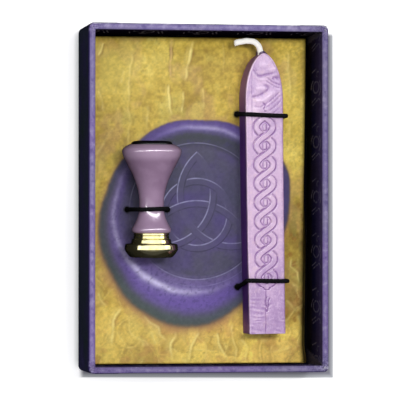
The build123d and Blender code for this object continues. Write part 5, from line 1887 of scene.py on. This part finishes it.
def brass_head():
    """Turned head: a rolled die rim, a broad tapered flange, a step and a neck of two rings; the die face is engraved."""
    profile = [
        (0.00, 6.45), (0.05, 6.58), (0.25, 6.85), (0.55, 7.14), (0.95, 7.48), (1.35, 7.80), (1.75, 8.08), (2.10, 8.28), (2.38, 8.40),
        (2.56, 8.44), (2.68, 8.43), (3.20, 8.36), (3.70, 8.29), (4.00, 8.23), (4.12, 8.14), (4.18, 8.00), (4.24, 7.60), (4.30, 6.75),
        (4.36, 6.46), (4.46, 6.38), (4.60, 6.36), (5.10, 6.25), (5.58, 6.14), (5.68, 6.08), (5.74, 5.95), (5.80, 5.62), (5.88, 5.54),
        (6.00, 5.60), (6.08, 5.64), (6.50, 5.55), (6.74, 5.49), (6.80, 5.42), (6.86, 5.30), (6.92, 5.42), (6.98, 5.60), (7.05, 5.63),
        (7.45, 5.54), (7.62, 5.50), (7.70, 5.44), (7.70, 3.00), (7.70, 2.02), (3.05, 2.02), (3.05, 0.01),
    ]
    fine = [profile[0]]
    for (s0, r0), (s1, r1) in zip(profile[:-1], profile[1:]):
        pieces = max(1, int(math.hypot(s1 - s0, r1 - r0) / 0.16)) if r1 > 5.0 else 2
        for k in range(1, pieces + 1):
            t = k / pieces
            fine.append((s0 + (s1 - s0) * t, r0 + (r1 - r0) * t))
    around = 168
    angle = np.linspace(0, 2 * math.pi, around, endpoint=False)
    # die face: from the middle out to the rolled rim
    radii = np.linspace(0.02, 6.45, 84)
    RR, AA = np.meshgrid(radii, angle, indexing="ij")
    fa, fb = RR * np.cos(AA), RR * np.sin(AA)
    arc = 5.35 * math.sqrt(3) / 2
    d = arc / math.sqrt(3)
    best = np.full(RR.shape, 9.0)
    for k in range(3):
        turn = math.radians(-90 + 120 * k)
        cx, cy = d * math.cos(turn), d * math.sin(turn)
        rel = (np.arctan2(fb - cy, fa - cx) - turn - math.pi / 2) % (2 * math.pi)
        on_arc = np.abs(np.hypot(fa - cx, fb - cy) - arc)
        ends = np.minimum(
            np.hypot(fa - cx - arc * math.cos(turn + math.pi / 2), fb - cy - arc * math.sin(turn + math.pi / 2)),
            np.hypot(fa - cx - arc * math.cos(turn + 1.5 * math.pi), fb - cy - arc * math.sin(turn + 1.5 * math.pi)),
        )
        best = np.minimum(best, np.where(rel < math.pi, on_arc, ends))
    groove = smooth(0.38, 0.24, best)
    groove = np.maximum(groove, smooth(0.22, 0.10, np.abs(RR - 6.0)))
    s_all = np.concatenate([0.42 * groove, np.array([q for q, _ in fine[1:]])[:, None] * np.ones((1, around))])
    r_all = np.concatenate([RR, np.array([r for _, r in fine[1:]])[:, None] * np.ones((1, around))])
    cut = np.concatenate([groove, np.zeros((len(fine) - 1, around))])
    a_all = np.ones_like(r_all) * angle[None, :]
    x = STAMP_X + r_all * np.cos(a_all)
    up = r_all * np.sin(a_all)
    y = STAMP_FACE_Y + s_all * math.cos(TILT) - up * math.sin(TILT)
    z = FACE_Z + s_all * math.sin(TILT) + up * math.cos(TILT)
    faces = [tuple(f) for f in grid_faces(len(r_all), around, wrap_v=True, flip=True)]
    faces.append(tuple(range(around)))
    faces.append(tuple(reversed(range((len(r_all) - 1) * around, len(r_all) * around))))
    return make(
        "brass_head", np.stack([x, y, z], -1), faces, "stamp", polished_brass(), replaces=("seal_head",),
        floats={"cut": cut}, sharp=32,
    )


def gloss_black():
    g = Graph("cap_black", roughness=0.34, coat_weight=0.05, coat_roughness=0.2, specular_ior_level=0.08)
    p = g.place()
    n = g.noise(p, 2.0, 4.0)
    return g.set(colour=g.ramp(n, (0.3, lc(7, 7, 10)), (0.7, lc(16, 15, 20))), roughness=g.step(n, 0.3, 0.7, 0.28, 0.42), normal=g.bump(n, 0.05, 0.03))


def plain_paper(name, dark, light, rough=0.8, specular=0.3):
    g = Graph(name, roughness=rough, specular_ior_level=specular)
    p = g.place()
    fibre = g.noise(p, 3.0, 6.0, 0.7)
    flock = g.noise(g.stretch(p, 1.0, 0.4, 1.0), 1.2, 4.0, 0.6)
    colour = g.ramp(fibre, (0.3, dark), (0.7, light))
    colour = g.mix(g.step(flock, 0.55, 0.75, 0.0, 0.4), colour, tuple(0.6 * c for c in dark))
    return g.set(colour=colour, normal=g.bump(fibre, 0.25, 0.05))


def turned_steel():
    g = Graph("steel_turned", metallic=1.0, roughness=0.35)
    p = g.place()
    n = g.noise(g.stretch(p, 0.2, 6.0, 0.2), 2.0, 3.0)
    return g.set(colour=g.ramp(n, (0.3, lc(150, 150, 154)), (0.7, lc(190, 190, 192))), roughness=g.step(n, 0.3, 0.7, 0.28, 0.42))


turned_handle()
brass = brass_head()
turned_cap()
finish_node("handle_stud", turned_steel())
greyboard = plain_paper("greyboard_raw", lc(138, 132, 122), lc(168, 162, 150))
for key in ("base_board", "left_wall_board", "right_wall_board", "front_wall_board", "back_wall_board"):
    finish_node(key, greyboard)
kraft = plain_paper("kraft_tape", lc(150, 116, 76), lc(180, 146, 100))
for key in ("corner_stay_front_left", "corner_stay_front_right", "corner_stay_back_left", "corner_stay_back_right"):
    finish_node(key, kraft)
finish_node("base_sheet", plain_paper("base_sheet_navy", lc(18, 18, 32), lc(32, 30, 46), 0.6))
# painted shade: the liner's navy is taken near-black, for the shaded gap round the card
finish_node("floor_liner", plain_paper("liner_navy", lc(8, 7, 12), lc(17, 15, 24), 0.9, 0.0))

# the tube shows in the lacquer and not in the brass, which has the softer reflector; the tray's walls keep out of both
without_tube = bpy.data.collections.new("without_tube")
without_tube.objects.link(brass)
without_tube.collection_objects[0].light_linking.link_state = "EXCLUDE"
tube_light.light_linking.receiver_collection = without_tube
past_cord = bpy.data.collections.new("past_cord")
for cord_piece in [o for o in bpy.data.objects if o.name.startswith("elastic_over_stamp")]:
    past_cord.objects.link(cord_piece)
for entry in past_cord.collection_objects:
    entry.light_linking.link_state = "EXCLUDE"
tube_light.light_linking.blocker_collection = past_cord
reflector.light_linking.blocker_collection = past_cord
wrap.visible_glossy = False

# =================================================================================================
bpy.context.view_layer.update()
